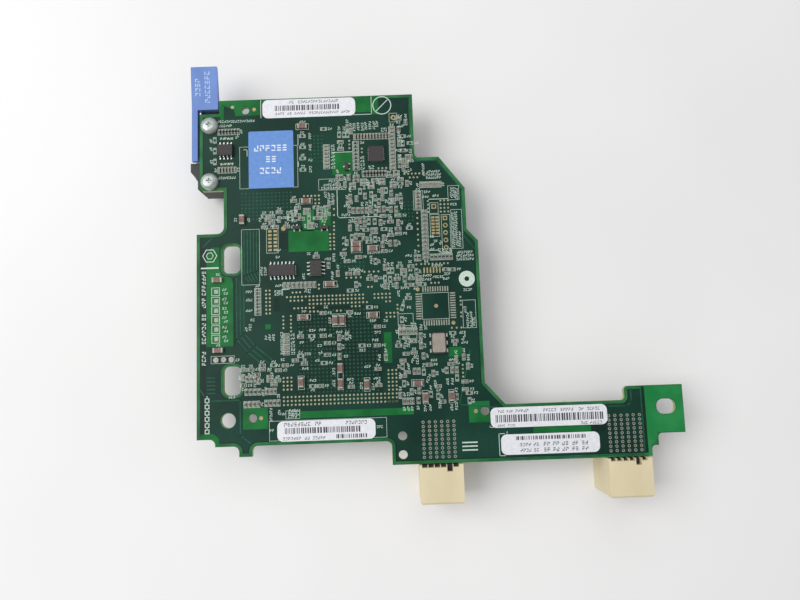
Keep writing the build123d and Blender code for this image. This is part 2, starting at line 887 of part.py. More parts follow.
def make_moulded_bodies(name, seats, length, width, top, shoulder, marked=True):
    """Moulded bodies: a band at the leads' height, with drafted sides above and below it."""
    band_low = shoulder - lead_thickness / 2
    band_high = shoulder + lead_thickness / 2
    with BuildPart() as bodies:
        for plane in seats:
            with BuildSketch(plane.offset(band_low)):
                Rectangle(length, width)
            extrude(amount=lead_thickness)
            with BuildSketch(plane.offset(band_high)):
                Rectangle(length, width)
            extrude(amount=top - band_high, taper=package_draft)
            with BuildSketch(plane.offset(band_low)):
                Rectangle(length, width)
            extrude(amount=-(band_low - package_standoff), taper=package_draft)
            if marked:
                with BuildSketch(plane.offset(top)):
                    with Locations((pin_mark_margin - length / 2, pin_mark_margin - width / 2)):
                        Circle(pin_mark_radius)
                extrude(amount=-pin_mark_depth, mode=Mode.SUBTRACT)
    save(bodies.part, name)


def make_leads(name, seats, places, body_width, span, shoulder, foot):
    """Gull wing leads: out of the band, down, and out along the board, at (offset, way) places."""
    band_low = shoulder - lead_thickness / 2
    band_high = shoulder + lead_thickness / 2
    with BuildPart() as leads:
        for plane in seats:
            for offset, way in places:
                start = plane.origin + plane.x_dir * (offset - lead_width / 2)
                with BuildSketch(Plane(origin=start, x_dir=plane.y_dir * way, z_dir=plane.x_dir)):
                    with BuildLine():
                        Polyline(
                            (body_width / 2, band_low * way),
                            (body_width / 2, band_high * way),
                            (body_width / 2 + lead_run, band_high * way),
                            (span / 2 - foot, lead_thickness * way),
                            (span / 2, lead_thickness * way),
                            (span / 2, 0),
                            (span / 2 - foot - lead_thickness, 0),
                            (body_width / 2 + lead_run - lead_thickness, band_low * way),
                            close=True,
                        )
                    make_face()
                extrude(amount=lead_width)
    save(leads.part, name)


def make_gull_wing(name, plane, leads_a_side, width, span, top):
    """One gull wing package: a moulded body with a pin mark, and its leads."""
    length = (leads_a_side - 1) * lead_pitch + soic_end_margin * 2
    places = [(offset, way) for offset in spread(leads_a_side, lead_pitch) for way in (1, -1)]
    make_moulded_bodies(f"{name}_body", [plane], length, width, top, lead_shoulder)
    make_leads(f"{name}_leads", [plane], places, width, span, lead_shoulder, lead_foot)


# Gull wing chips on both faces
for name, x_share, y_share, leads_a_side, turned in soic_places_shares:
    make_gull_wing(name, seat(x_share, y_share, turned), leads_a_side, soic_width, soic_span, soic_top)
flash_seat = seat(flash_x_share, flash_y_share, 90, hidden=True)
make_gull_wing("flash_memory", flash_seat, flash_lead_count, flash_width, flash_span, flash_top)

# Small outline transistors: two leads on one side and one on the other
sot_seats = [seat(x_share, y_share, turned) for x_share, y_share, turned in sot_places_shares]
sot_lead_places = [(-sot_pitch / 2, -1), (sot_pitch / 2, -1), (0, 1)]
make_moulded_bodies(
    "transistor_bodies", sot_seats, sot_length, sot_width, sot_top, sot_shoulder, marked=False,
)
make_leads(
    "transistor_leads", sot_seats, sot_lead_places, sot_width, sot_span, sot_shoulder, sot_foot,
)

# Clock chip: a flat square body on pads that show along its four sides
clock_seat = seat(clock_x_share, clock_y_share)
with BuildPart() as clock_chip_body:
    with BuildSketch(clock_seat.offset(clock_pad_thickness)):
        Rectangle(clock_width, clock_width)
    extrude(amount=clock_height)
    with BuildSketch(clock_seat.offset(clock_pad_thickness + clock_height)):
        with Locations((pin_mark_margin - clock_width / 2, clock_width / 2 - pin_mark_margin)):
            Circle(pin_mark_radius)
    extrude(amount=-pin_mark_depth, mode=Mode.SUBTRACT)
save(clock_chip_body.part, "clock_chip_body")

with BuildPart() as clock_chip_pads:
    pad_offset = clock_width / 2 + clock_pad_reach - clock_pad_length / 2
    with BuildSketch(clock_seat):
        for step in spread(clock_pads, clock_pad_pitch):
            with Locations((step, pad_offset), (step, -pad_offset)):
                Rectangle(clock_pad_width, clock_pad_length)
            with Locations((pad_offset, step), (-pad_offset, step)):
                Rectangle(clock_pad_length, clock_pad_width)
    extrude(amount=clock_pad_thickness)
save(clock_chip_pads.part, "clock_chip_pads")

# Crystal oscillator: ceramic base, soldered side pads and a metal lid
oscillator_seat = seat(oscillator_x_share, oscillator_y_share)
with BuildPart() as oscillator_base:
    with BuildSketch(oscillator_seat):
        Rectangle(oscillator_width, oscillator_length)
    extrude(amount=oscillator_height)
    chamfer(oscillator_base.edges().filter_by(Axis.Z), oscillator_corner)
save(oscillator_base.part, "oscillator_base")

with BuildPart() as oscillator_lid:
    with BuildSketch(oscillator_seat.offset(oscillator_height)):
        RectangleRounded(
            oscillator_width - oscillator_lid_margin * 2,
            oscillator_length - oscillator_lid_margin * 2,
            oscillator_lid_corner,
        )
    extrude(amount=oscillator_lid_thickness)
save(oscillator_lid.part, "oscillator_lid")

with BuildPart() as oscillator_side_pads:
    side_offset = (oscillator_width + oscillator_pad_reach) / 2
    with BuildSketch(oscillator_seat):
        for step in spread(oscillator_pads, oscillator_pad_pitch):
            with Locations((side_offset, step), (-side_offset, step)):
                Rectangle(oscillator_pad_reach, oscillator_pad_width)
    extrude(amount=oscillator_pad_height)
save(oscillator_side_pads.part, "oscillator_side_pads")

# Chip capacitors: ceramic bodies between plated ends
with BuildPart() as capacitor_bodies:
    for x_share, y_share, turned in capacitor_places_shares:
        with BuildSketch(seat(x_share, y_share, turned)):
            Rectangle(capacitor_length - capacitor_end * 2, capacitor_width)
        extrude(amount=capacitor_height)
save(capacitor_bodies.part, "capacitor_bodies")

with BuildPart() as capacitor_ends:
    end_offset = (capacitor_length - capacitor_end) / 2
    for x_share, y_share, turned in capacitor_places_shares:
        with BuildSketch(seat(x_share, y_share, turned)):
            with Locations((end_offset, 0), (-end_offset, 0)):
                Rectangle(capacitor_end, capacitor_width)
        extrude(amount=capacitor_height)
save(capacitor_ends.part, "capacitor_ends")

# Header pins filled with solder
with BuildPart() as header_pins_solder:
    with BuildSketch(seat(header_x_share, header_y_share)):
        with GridLocations(header_pitch, 0, header_pins, 1):
            Circle(header_pin_radius)
    extrude(amount=header_pin_height)
save(header_pins_solder.part, "header_pins")

# Power inductors: pressed cores with clipped corners, standing on two soldered feet
with BuildPart() as inductor_cores:
    for x_share, y_share in inductor_places_shares:
        core_seat = seat(x_share, y_share, hidden=True)
        with BuildSketch(core_seat.offset(inductor_foot_thickness)):
            core_outline = Rectangle(inductor_width, inductor_width)
            chamfer(core_outline.vertices(), inductor_corner)
        extrude(amount=inductor_height - inductor_foot_thickness)
save(inductor_cores.part, "inductor_cores")

with BuildPart() as inductor_feet:
    foot_offset = (inductor_width - inductor_foot_length) / 2
    for x_share, y_share in inductor_places_shares:
        with BuildSketch(seat(x_share, y_share, hidden=True)):
            with Locations((foot_offset, 0), (-foot_offset, 0)):
                Rectangle(inductor_foot_length, inductor_foot_width)
        extrude(amount=inductor_foot_thickness)
save(inductor_feet.part, "inductor_feet")

# Tantalum capacitors: moulded blocks, with a strip folded under each end
with BuildPart() as tantalum_bodies:
    for x_share, y_share, turned in tantalum_places_shares:
        body_seat = seat(x_share, y_share, turned, hidden=True)
        with BuildSketch(body_seat.offset(tantalum_strip_thickness)):
            Rectangle(tantalum_length, tantalum_width)
        extrude(amount=tantalum_top - tantalum_strip_thickness, taper=package_draft / 2)
save(tantalum_bodies.part, "tantalum_bodies")

with BuildPart() as tantalum_strips:
    strip_offset = (tantalum_length - tantalum_strip_length) / 2
    for x_share, y_share, turned in tantalum_places_shares:
        with BuildSketch(seat(x_share, y_share, turned, hidden=True)):
            with Locations((strip_offset, 0), (-strip_offset, 0)):
                Rectangle(tantalum_strip_length, tantalum_strip_width)
        extrude(amount=tantalum_strip_thickness)
save(tantalum_strips.part, "tantalum_strips")

# Crystal in a low metal can
with BuildPart() as crystal_can:
    with BuildSketch(seat(crystal_x_share, crystal_y_share, hidden=True)):
        RectangleRounded(crystal_width, crystal_length, crystal_corner)
    extrude(amount=crystal_height)
save(crystal_can.part, "crystal_can")
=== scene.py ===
import math
import random

import bpy
from mathutils import Euler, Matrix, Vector


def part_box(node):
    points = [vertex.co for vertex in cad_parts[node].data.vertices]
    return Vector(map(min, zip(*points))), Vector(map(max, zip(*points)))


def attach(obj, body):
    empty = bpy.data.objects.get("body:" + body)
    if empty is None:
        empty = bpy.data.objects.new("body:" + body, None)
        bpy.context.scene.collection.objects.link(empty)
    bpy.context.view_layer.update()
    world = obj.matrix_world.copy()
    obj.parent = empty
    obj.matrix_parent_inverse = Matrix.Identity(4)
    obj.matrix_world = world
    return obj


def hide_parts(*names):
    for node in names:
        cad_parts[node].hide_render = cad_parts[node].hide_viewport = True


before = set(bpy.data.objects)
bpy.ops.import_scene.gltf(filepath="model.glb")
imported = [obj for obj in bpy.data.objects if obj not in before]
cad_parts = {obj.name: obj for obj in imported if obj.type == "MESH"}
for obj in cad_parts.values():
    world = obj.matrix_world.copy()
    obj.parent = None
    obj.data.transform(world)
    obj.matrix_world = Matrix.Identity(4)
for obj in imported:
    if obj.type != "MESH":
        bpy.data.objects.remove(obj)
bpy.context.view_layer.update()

# Looks of a plug-in network card: solder mask, printed ink, lands and vias, the swarm of small chip
# parts, labels with bar prints, and a finish for every moulding, lead and contact. Sizes and places
# are in millimetres in the frame of the part, whose level zero is the printed face of the board.

MM = 0.001

# Heights of the thin layers on the board, and the level of its underside
mask_field_height = 0.012
seam_height = 0.018
land_height = 0.035
ink_height = 0.03
label_ink_height = 0.012
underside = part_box("circuit_board")[0].z / MM

# The level that the card stands on and the middle of the card, in metres
standing_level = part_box("left_backplane_housing")[0].z
card_middle = (0.06, 0.04)

# A face whose normal has more than this share of Z looks straight up or down
upright_share = 0.9

# Drawn widths and radii on the board, and how many sides its round prints have
ink_width = 0.2
outline_width = 0.11
seam_width = 0.4
via_radius = 0.34
ring_outer = 0.5
ring_inner = 0.27
faint_via_sides = 8
via_sides = 10
ring_sides = 14
land_sides = 20


def linear(hex_colour):
    """Linear RGBA of an sRGB hex colour."""
    channels = [int(hex_colour[i:i + 2], 16) / 255 for i in (1, 3, 5)]
    return [c / 12.92 if c <= 0.04045 else ((c + 0.055) / 1.055) ** 2.4 for c in channels] + [1]


def add_node(tree, kind, settings=None, links=None):
    """Add one shader node with its settings and the sockets linked into it."""
    node = tree.nodes.new(kind)
    for key, value in (settings or {}).items():
        if isinstance(key, str) and hasattr(node, key):
            setattr(node, key, value)
        else:
            node.inputs[key].default_value = value
    for key, socket in (links or {}).items():
        tree.links.new(socket, node.inputs[key])
    return node


def per_mm(size):
    """Scale of a texture whose pattern repeats about every size millimetres."""
    return 1 / (size * MM)


def new_material(name, colour, roughness, metallic=0.0, gloss=0.5):
    """A material with its shader's constant values set, and its object coordinates."""
    material = bpy.data.materials.new(name)
    material.use_nodes = True
    tree = material.node_tree
    tree.nodes.clear()
    shader = add_node(tree, "ShaderNodeBsdfPrincipled", {
        "Base Color": linear(colour), "Roughness": roughness, "Metallic": metallic,
        "Specular IOR Level": gloss,
    })
    add_node(tree, "ShaderNodeOutputMaterial", links={"Surface": shader.outputs["BSDF"]})
    place = add_node(tree, "ShaderNodeTexCoord").outputs["Object"]
    return material, tree, shader, place


def mottle(tree, place, size, dark, light, low=0.35, high=0.65):
    """A soft mix of two colours in patches of a real size."""
    noise = add_node(tree, "ShaderNodeTexNoise", {"Scale": per_mm(size), "Detail": 3.0},
                     {"Vector": place})
    ramp = add_node(tree, "ShaderNodeValToRGB", links={"Fac": noise.outputs["Fac"]})
    ramp.color_ramp.elements[0].position = low
    ramp.color_ramp.elements[0].color = linear(dark)
    ramp.color_ramp.elements[1].position = high
    ramp.color_ramp.elements[1].color = linear(light)
    return ramp.outputs["Color"]


def relief(tree, shader, place, size, depth, strength):
    """Fine relief of a real grain size and depth, in millimetres, on the shader's normal."""
    noise = add_node(tree, "ShaderNodeTexNoise", {"Scale": per_mm(size), "Detail": 2.0},
                     {"Vector": place})
    bump = add_node(tree, "ShaderNodeBump", {"Strength": strength, "Distance": depth * MM},
                    {"Height": noise.outputs["Fac"]})
    tree.links.new(bump.outputs["Normal"], shader.inputs["Normal"])


def sheen(tree, shader, place, size, smooth, rough):
    """Patches of a little more and a little less gloss."""
    noise = add_node(tree, "ShaderNodeTexNoise", {"Scale": per_mm(size), "Detail": 4.0},
                     {"Vector": place})
    spread = add_node(tree, "ShaderNodeMapRange", {"To Min": smooth, "To Max": rough},
                      {"Value": noise.outputs["Fac"]})
    tree.links.new(spread.outputs["Result"], shader.inputs["Roughness"])


def stretched(tree, place, scale):
    """Coordinates stretched into lines along one axis."""
    return add_node(tree, "ShaderNodeMapping", {"vector_type": "POINT", "Scale": scale},
                    {"Vector": place}).outputs["Vector"]


def surface(name, colour, roughness, tones, grain=None, patches=None, lines=None, metallic=0.0, gloss=0.5):
    """A finished material: tones (size, dark, light), grain (size, depth, strength), patches of sheen
    (size, smooth, rough) and the stretch of the lines in it. All sizes are real ones in millimetres."""
    material, tree, shader, place = new_material(name, colour, roughness, metallic, gloss)
    if lines:
        place = stretched(tree, place, lines)
    tree.links.new(mottle(tree, place, *tones), shader.inputs["Base Color"])
    if patches:
        sheen(tree, shader, place, *patches)
    if grain:
        relief(tree, shader, place, *grain)
    return material


def solder_mask_over_copper(name="solder_mask_over_copper", dark="#0E3128", light="#184134"):
    """Liquid solder mask, sprayed and baked over copper: a dark, slightly glossy blue-green. The
    sawn sides of the board show bare glass epoxy, pale yellow-green. The glass weave under the mask
    is about 0.5 mm apart in a real board, and is drawn at 1.1 mm so that it shows."""
    material, tree, shader, place = new_material(name, dark, 0.42, gloss=0.15)
    copper = mottle(tree, place, 26, dark, light, 0.36, 0.66)
    weave = add_node(tree, "ShaderNodeTexNoise", {"Scale": per_mm(1.1), "Detail": 1.0},
                     {"Vector": place})
    grain = add_node(tree, "ShaderNodeMapRange", {"To Min": 0.88, "To Max": 1.12},
                     {"Value": weave.outputs["Fac"]})
    shade = add_node(tree, "ShaderNodeMix", {"data_type": "RGBA", "blend_type": "MULTIPLY", 0: 1.0},
                     {6: copper, 7: grain.outputs["Result"]})
    normal = add_node(tree, "ShaderNodeNewGeometry").outputs["True Normal"]
    axes = add_node(tree, "ShaderNodeSeparateXYZ", links={"Vector": normal})
    upright = add_node(tree, "ShaderNodeMath", {"operation": "ABSOLUTE"}, {0: axes.outputs["Z"]})
    is_face = add_node(tree, "ShaderNodeMath", {"operation": "GREATER_THAN", 1: 0.5},
                       {0: upright.outputs["Value"]})
    laminate = mottle(tree, place, 0.35, "#8FA562", "#B4C48C")
    mixed = add_node(tree, "ShaderNodeMix", {"data_type": "RGBA"},
                     {0: is_face.outputs["Value"], 6: laminate, 7: shade.outputs[2]})
    tree.links.new(mixed.outputs[2], shader.inputs["Base Color"])
    sheen(tree, shader, place, 9, 0.3, 0.46)
    relief(tree, shader, place, 0.9, 0.02, 0.35)
    return material


def solder_mask_over_laminate(name="solder_mask_over_laminate", dark="#0F5F2B", light="#1C7438"):
    """The same mask where no copper lies under it: the glass epoxy shines through, bright green."""
    return surface(name, dark, 0.42, (7, dark, light), (0.9, 0.02, 0.3), gloss=0.15)


def mask_over_trace():
    """Mask over a thin copper trace, a little lighter than the plane beside it."""
    return surface("mask_over_trace", "#1E4E3C", 0.42, (3, "#1B4B39", "#285F49"), (0.9, 0.02, 0.3),
                   gloss=0.15)


def printed_ink():
    """White epoxy ink, screened on the mask: flat, a little thin, so some green shows through."""
    return surface("printed_ink", "#C6D9CB", 0.62, (0.5, "#B4CCBC", "#D6E5D8"), (0.2, 0.01, 0.4))


def tinned_land(name="tinned_land", dark="#868B7D", light="#ABB0A2"):
    """Copper land levelled with solder: soft metal shine, uneven where the solder pooled."""
    return surface(name, light, 0.5, (0.6, dark, light), (0.5, 0.03, 0.5), (0.8, 0.38, 0.64), metallic=0.3)


def gold_land():
    """Copper land plated with nickel and a thin gold wash, brownish yellow."""
    return tinned_land("gold_land", "#8C8058", "#B8AA7C")


def reflowed_solder():
    """Solder paste melted in the oven: bright, smooth, with soft ripples."""
    return surface("reflowed_solder", "#C2C7C2", 0.3, (0.8, "#A9AFA9", "#D4D9D4"), (0.7, 0.05, 0.5),
                   (0.6, 0.22, 0.42), metallic=0.8)


def chip_epoxy():
    """Moulded black epoxy with silica grains: matt dark grey, finely pitted."""
    return surface("chip_epoxy", "#363433", 0.55, (0.3, "#2F2D2C", "#403D3C"), (0.12, 0.02, 0.6),
                   (1.5, 0.48, 0.64), gloss=0.4)


def resistor_glass():
    """Black glass over the film of a chip resistor, glossy and slightly domed."""
    return surface("resistor_glass", "#3A3A3A", 0.35, (0.5, "#303132", "#4A4A4A"), (0.4, 0.02, 0.4),
                   gloss=0.4)


def capacitor_ceramic(name="capacitor_ceramic", dark="#664C42", light="#88695C"):
    """Fired barium titanate ceramic, reddish brown, tumbled smooth."""
    return surface(name, dark, 0.45, (0.7, dark, light), (0.15, 0.01, 0.5))


def label_stock(name, dark, light, roughness):
    """Coated polyester label stock, matt, with a faint grain."""
    return surface(name, light, roughness, (1.2, dark, light), (0.25, 0.006, 0.5))


def thermal_print():
    """Dark resin ribbon print on a label, a little broken up."""
    return surface("thermal_print", "#34323C", 0.5, (0.3, "#2A2832", "#4E4C58"), (0.2, 0.004, 0.4))


def moulded_plastic(name, dark, light, roughness, patch=6.0):
    """Injection moulded plastic: even colour with faint flow marks and a fine tool texture."""
    material, tree, shader, place = new_material(name, light, roughness)
    flow = stretched(tree, place, (1.0, 0.35, 1.0))
    tree.links.new(mottle(tree, flow, patch, dark, light, 0.3, 0.7), shader.inputs["Base Color"])
    sheen(tree, shader, place, patch, roughness - 0.06, roughness + 0.08)
    relief(tree, shader, place, 0.25, 0.015, 0.5)
    return material


def plated_steel():
    """Zinc plated steel, turned and tumbled: pale grey metal with a satin shine."""
    return surface("plated_steel", "#AEB5B0", 0.42, (1.4, "#A0A7A2", "#BAC1BC"), (0.3, 0.015, 0.4),
                   (0.8, 0.28, 0.44), metallic=0.6)


def gold_plating():
    """Hard gold over nickel on stamped contacts: deep yellow, smooth and bright."""
    return surface("gold_plating", "#E0BC62", 0.28, (0.8, "#CFA850", "#E8C978"), (0.3, 0.01, 0.3),
                   metallic=1.0)


def milled_aluminium():
    """Extruded aluminium: pale grey, with fine bright lines along the fins."""
    return surface("milled_aluminium", "#C9CDD0", 0.4, (4.0, "#B4B8BC", "#D6DADC"), (4.0, 0.02, 0.4),
                   (4.0, 0.32, 0.5), (12.0, 0.6, 12.0), metallic=1.0)


def plated_lid():
    """Nickel-iron lid, drawn in a press and nickel plated: warm pinkish grey, lightly brushed."""
    return surface("plated_lid", "#A39A8E", 0.45, (2.4, "#978E82", "#AEA599"), (2.0, 0.01, 0.3),
                   (2.4, 0.36, 0.5), (8.0, 1.0, 8.0), metallic=0.35)


def glass_substrate():
    """Thin laminate of a ball grid package, dark green and satin."""
    return surface("glass_substrate", "#23533A", 0.42, (1.8, "#1E4A34", "#2C6146"), (0.5, 0.015, 0.4))


def ferrite(name="ferrite", dark="#4A4C4E", light="#5D6062"):
    """Pressed and fired ferrite, matt grey with fine pores."""
    return surface(name, dark, 0.7, (0.4, dark, light), (0.2, 0.03, 0.6))


def hole_shadow():
    """Painted shade for the bore of a plated hole, which looks nearly black from outside."""
    return surface("hole_shadow", "#14241E", 0.7, (0.3, "#101E19", "#1C322A"))


def studio_paper():
    """Seamless studio paper: off-white and matt, with broad soft changes of tone and no sheen."""
    return surface("studio_paper", "#F3F2F1", 0.9, (160, "#F0EFEE", "#F6F5F4"), gloss=0.2)


# Every finish of the card, by the name that its pieces call it
finishes = {
    "mask": solder_mask_over_copper(),
    "laminate": solder_mask_over_laminate(),
    "ear": solder_mask_over_laminate("solder_mask_on_ear", "#1B7A3E", "#2A8A4A"),
    "rim": solder_mask_over_laminate("solder_mask_at_edge", "#1F5C33", "#347646"),
    "deep": solder_mask_over_copper("solder_mask_in_shade", "#0E2820", "#14332A"),
    "trace": mask_over_trace(),
    "ink": printed_ink(),
    "land": tinned_land(),
    "via": tinned_land("tented_via", "#8E9276", "#B2B294"),
    "gold_land": gold_land(),
    "solder": reflowed_solder(),
    "epoxy": chip_epoxy(),
    "resistor": resistor_glass(),
    "ceramic": capacitor_ceramic(),
    "pale_ceramic": capacitor_ceramic("pale_capacitor_ceramic", "#82726A", "#9C8A80"),
    "dull_solder": tinned_land("dull_solder", "#85857E", "#B0B0A8"),
    "chip_end": tinned_land("tinned_chip_end", "#8F9189", "#B4B5AC"),
    "white_label": label_stock("white_label_stock", "#E0E2E7", "#ECEDF1", 0.45),
    "blue_label": label_stock("blue_label_stock", "#5C8ACE", "#6592D6", 0.5),
    "print": thermal_print(),
    "white_print": label_stock("white_print", "#DCE4F0", "#E8EEF6", 0.5),
    "pad_print": label_stock("pad_print", "#A9C0E6", "#B9CDEC", 0.5),
    "lever": moulded_plastic("moulded_blue_lever", "#5F80C2", "#6C8ED0", 0.5),
    "bracket": moulded_plastic("moulded_black_bracket", "#262626", "#343230", 0.5),
    "beige": moulded_plastic("moulded_beige_housing", "#DCCDA7", "#E6D9B5", 0.55, 9.0),
    "wafer": moulded_plastic("moulded_black_wafer", "#1C1B1A", "#2A2826", 0.5),
    "socket": moulded_plastic("moulded_stacking_housing", "#2A2A2C", "#38383A", 0.5),
    "steel": plated_steel(),
    "gold": gold_plating(),
    "aluminium": milled_aluminium(),
    "lid": plated_lid(),
    "substrate": glass_substrate(),
    "ferrite": ferrite(),
    "thermal": ferrite("thermal_pad_rubber", "#8E9296", "#A4A8AC"),
    "tantalum": moulded_plastic("moulded_tantalum_case", "#C99A3C", "#DBB054", 0.45),
    "hole": hole_shadow(),
}

# Which nodes of the frame have which finish
node_finishes = {
    "mask": ["circuit_board"],
    "white_label": ["serial_label", "part_label", "arm_upper_label", "arm_lower_label"],
    "blue_label": ["install_label"],
    "lever": ["release_lever"],
    "bracket": ["lever_bracket"],
    "steel": ["bracket_screws", "lever_pin"],
    "beige": ["left_backplane_housing", "right_backplane_housing"],
    "wafer": ["left_backplane_wafers", "right_backplane_wafers"],
    "gold": ["left_backplane_contacts", "right_backplane_contacts", "stacking_connector_contacts"],
    "socket": ["stacking_connector_housing"],
    "solder": [
        "fibre_controller_balls", "network_controller_balls", "sensor_chip_leads",
        "logic_chip_leads", "memory_chip_leads", "flash_memory_leads", "transistor_leads",
        "clock_chip_pads", "inductor_feet", "tantalum_strips", "oscillator_side_pads",
    ],
    "dull_solder": ["header_pins"],
    "chip_end": ["capacitor_ends"],
    "substrate": ["fibre_controller_substrate", "network_controller_substrate"],
    "epoxy": [
        "fibre_controller_cap", "network_controller_cap", "sensor_chip_body", "logic_chip_body",
        "memory_chip_body", "flash_memory_body", "transistor_bodies", "clock_chip_body",
        "oscillator_base",
    ],
    "thermal": ["thermal_pad"],
    "aluminium": ["heat_sink"],
    "lid": ["oscillator_lid", "crystal_can"],
    "ceramic": ["capacitor_bodies"],
    "ferrite": ["inductor_cores"],
    "tantalum": ["tantalum_bodies"],
}
for finish_name, node_names in node_finishes.items():
    for node_name in node_names:
        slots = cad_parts[node_name].data.materials
        slots.clear()
        slots.append(finishes[finish_name])


class Pieces:
    """Collects closed solids, in millimetres, and turns them into one mesh piece."""

    def __init__(self):
        self.points = []
        self.faces = []

    def layers(self, rings):
        """A closed solid from rings of points, bottom first, each with as many points."""
        start, count = len(self.points), len(rings[0])
        for ring in rings:
            self.points.extend(ring)
        self.faces.append([start + i for i in reversed(range(count))])
        for level in range(len(rings) - 1):
            low = start + level * count
            for i in range(count):
                j = (i + 1) % count
                self.faces.append([low + i, low + j, low + count + j, low + count + i])
        top = start + (len(rings) - 1) * count
        self.faces.append([top + i for i in range(count)])

    def prism(self, outline, low, high):
        """A flat piece with that outline, anticlockwise."""
        self.layers([[(x, y, low) for x, y in outline], [(x, y, high) for x, y in outline]])

    def loop(self, outer, inner, low, high):
        """A flat closed strip between two outlines with as many points."""
        start, count = len(self.points), len(outer)
        for outline, level in ((outer, low), (outer, high), (inner, high), (inner, low)):
            self.points.extend((x, y, level) for x, y in outline)
        for ring in range(4):
            a, b = start + ring * count, start + (ring + 1) % 4 * count
            for i in range(count):
                j = (i + 1) % count
                self.faces.append([a + i, a + j, b + j, b + i])

    def plate(self, outer, hole, low, high):
        """A flat piece with a hole: both outlines are cut by rays from the middle of the hole."""
        middle = Vector((sum(x for x, y in hole) / len(hole), sum(y for x, y in hole) / len(hole)))
        turns = sorted({round(math.atan2(y - middle.y, x - middle.x), 4) for x, y in outer + hole})
        edges = [[ray_hit(outline, middle, turn) for turn in turns] for outline in (outer, hole)]
        self.loop(edges[0], edges[1], low, high)

    def piece(self, name, finish, slot, body="card"):
        """The finished mesh piece, riding on its body."""
        mesh = bpy.data.meshes.new(name)
        mesh.from_pydata([(x * MM, y * MM, z * MM) for x, y, z in self.points], [], self.faces)
        mesh.materials.append(finishes[finish])
        mesh.update()
        piece = bpy.data.objects.new(name, mesh)
        bpy.context.scene.collection.objects.link(piece)
        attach(piece, body)
        return piece


def ray_hit(outline, middle, turn):
    """Where a ray from the middle leaves an outline."""
    way = Vector((math.cos(turn), math.sin(turn)))
    reach = 0.0
    for (x0, y0), (x1, y1) in zip(outline, outline[1:] + outline[:1]):
        edge = Vector((x1 - x0, y1 - y0))
        apart = Vector((x0 - middle.x, y0 - middle.y))
        across = way.x * edge.y - way.y * edge.x
        if abs(across) < 1e-9:
            continue
        along = (apart.x * edge.y - apart.y * edge.x) / across
        share = (apart.x * way.y - apart.y * way.x) / across
        if -1e-6 <= share <= 1 + 1e-6 and along > reach:
            reach = along
    return (middle.x + way.x * reach, middle.y + way.y * reach)


def rectangle(x, y, length, width, turned=0):
    """Outline of a rectangle about its centre, turned by degrees."""
    c, s = math.cos(math.radians(turned)), math.sin(math.radians(turned))
    corners = [(-length / 2, -width / 2), (length / 2, -width / 2),
               (length / 2, width / 2), (-length / 2, width / 2)]
    return [(x + a * c - b * s, y + a * s + b * c) for a, b in corners]


def disc(x, y, radius, sides):
    """Outline of a circle."""
    turns = [2 * math.pi * i / sides for i in range(sides)]
    return [(x + radius * math.cos(t), y + radius * math.sin(t)) for t in turns]


def box_outline(left, bottom, right, top, inwards=0.0):
    """Outline of a rectangle from its edges, moved inwards by that much."""
    left, bottom, right, top = left + inwards, bottom + inwards, right - inwards, top - inwards
    return [(left, bottom), (right, bottom), (right, top), (left, top)]


def edges_of(outline, margin):
    """The box round an outline, widened by a margin, as (left, bottom, right, top)."""
    across, up = [p[0] for p in outline], [p[1] for p in outline]
    return (min(across) - margin, min(up) - margin, max(across) + margin, max(up) + margin)


def box_frame(pieces, left, bottom, right, top, width, low, high):
    """A drawn rectangle with that line width."""
    pieces.loop(box_outline(left, bottom, right, top),
                box_outline(left, bottom, right, top, width), low, high)


def stroke(pieces, points, width, low, high):
    """A drawn line: one bar for each run, with the ends carried past the corners."""
    for (x0, y0), (x1, y1) in zip(points, points[1:]):
        length = math.hypot(x1 - x0, y1 - y0)
        angle = math.degrees(math.atan2(y1 - y0, x1 - x0))
        centre = ((x0 + x1) / 2, (y0 + y1) / 2)
        pieces.prism(rectangle(*centre, length + width, width, angle), low, high)


def face_loops(node_name, level):
    """Outlines of the flat face of a node at a level, as lists of points, longest first."""
    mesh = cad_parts[node_name].data
    inside = [p for p in mesh.polygons
              if abs(p.center.z - level) < 1e-6 and abs(p.normal.z) > upright_share]
    edges = {}
    for polygon in inside:
        ids = []
        for v in polygon.vertices:
            co = mesh.vertices[v].co
            ids.append((round(co.x / MM, 3), round(co.y / MM, 3)))
        for a, b in zip(ids, ids[1:] + ids[:1]):
            if (b, a) in edges:
                del edges[(b, a)]
            else:
                edges[(a, b)] = True
    follow = {a: b for a, b in edges}
    loops = []
    while follow:
        start, at = next(iter(follow.items()))
        del follow[start]
        loop = [start]
        while at != start:
            loop.append(at)
            at = follow.pop(at)
        loops.append(loop)
    return sorted(loops, key=len, reverse=True)


def inset(outline, distance):
    """The outline moved inwards, each corner along its mitre."""
    moved = []
    count = len(outline)
    for i, (x, y) in enumerate(outline):
        before = Vector((x - outline[i - 1][0], y - outline[i - 1][1])).normalized()
        after = Vector((outline[(i + 1) % count][0] - x, outline[(i + 1) % count][1] - y)).normalized()
        turn_in = Vector((-before.y - after.y, before.x + after.x))
        if turn_in.length < 1e-6:
            turn_in = Vector((-after.y, after.x))
        turn_in.normalize()
        lean = max(0.35, turn_in.dot(Vector((-after.y, after.x))))
        moved.append((x + turn_in.x * distance / lean, y + turn_in.y * distance / lean))
    return moved


# Outline and holes of the printed face, the longest loop first
board_loops = face_loops("circuit_board", 0.0)
board_outline = board_loops[0]


def hole_near(x, y, margin):
    """Outline of the board's hole at a place, widened by a margin, anticlockwise."""
    def away(loop):
        return math.hypot(sum(p[0] for p in loop) / len(loop) - x,
                          sum(p[1] for p in loop) / len(loop) - y)

    return inset(min(board_loops[1:], key=away), margin)[::-1]


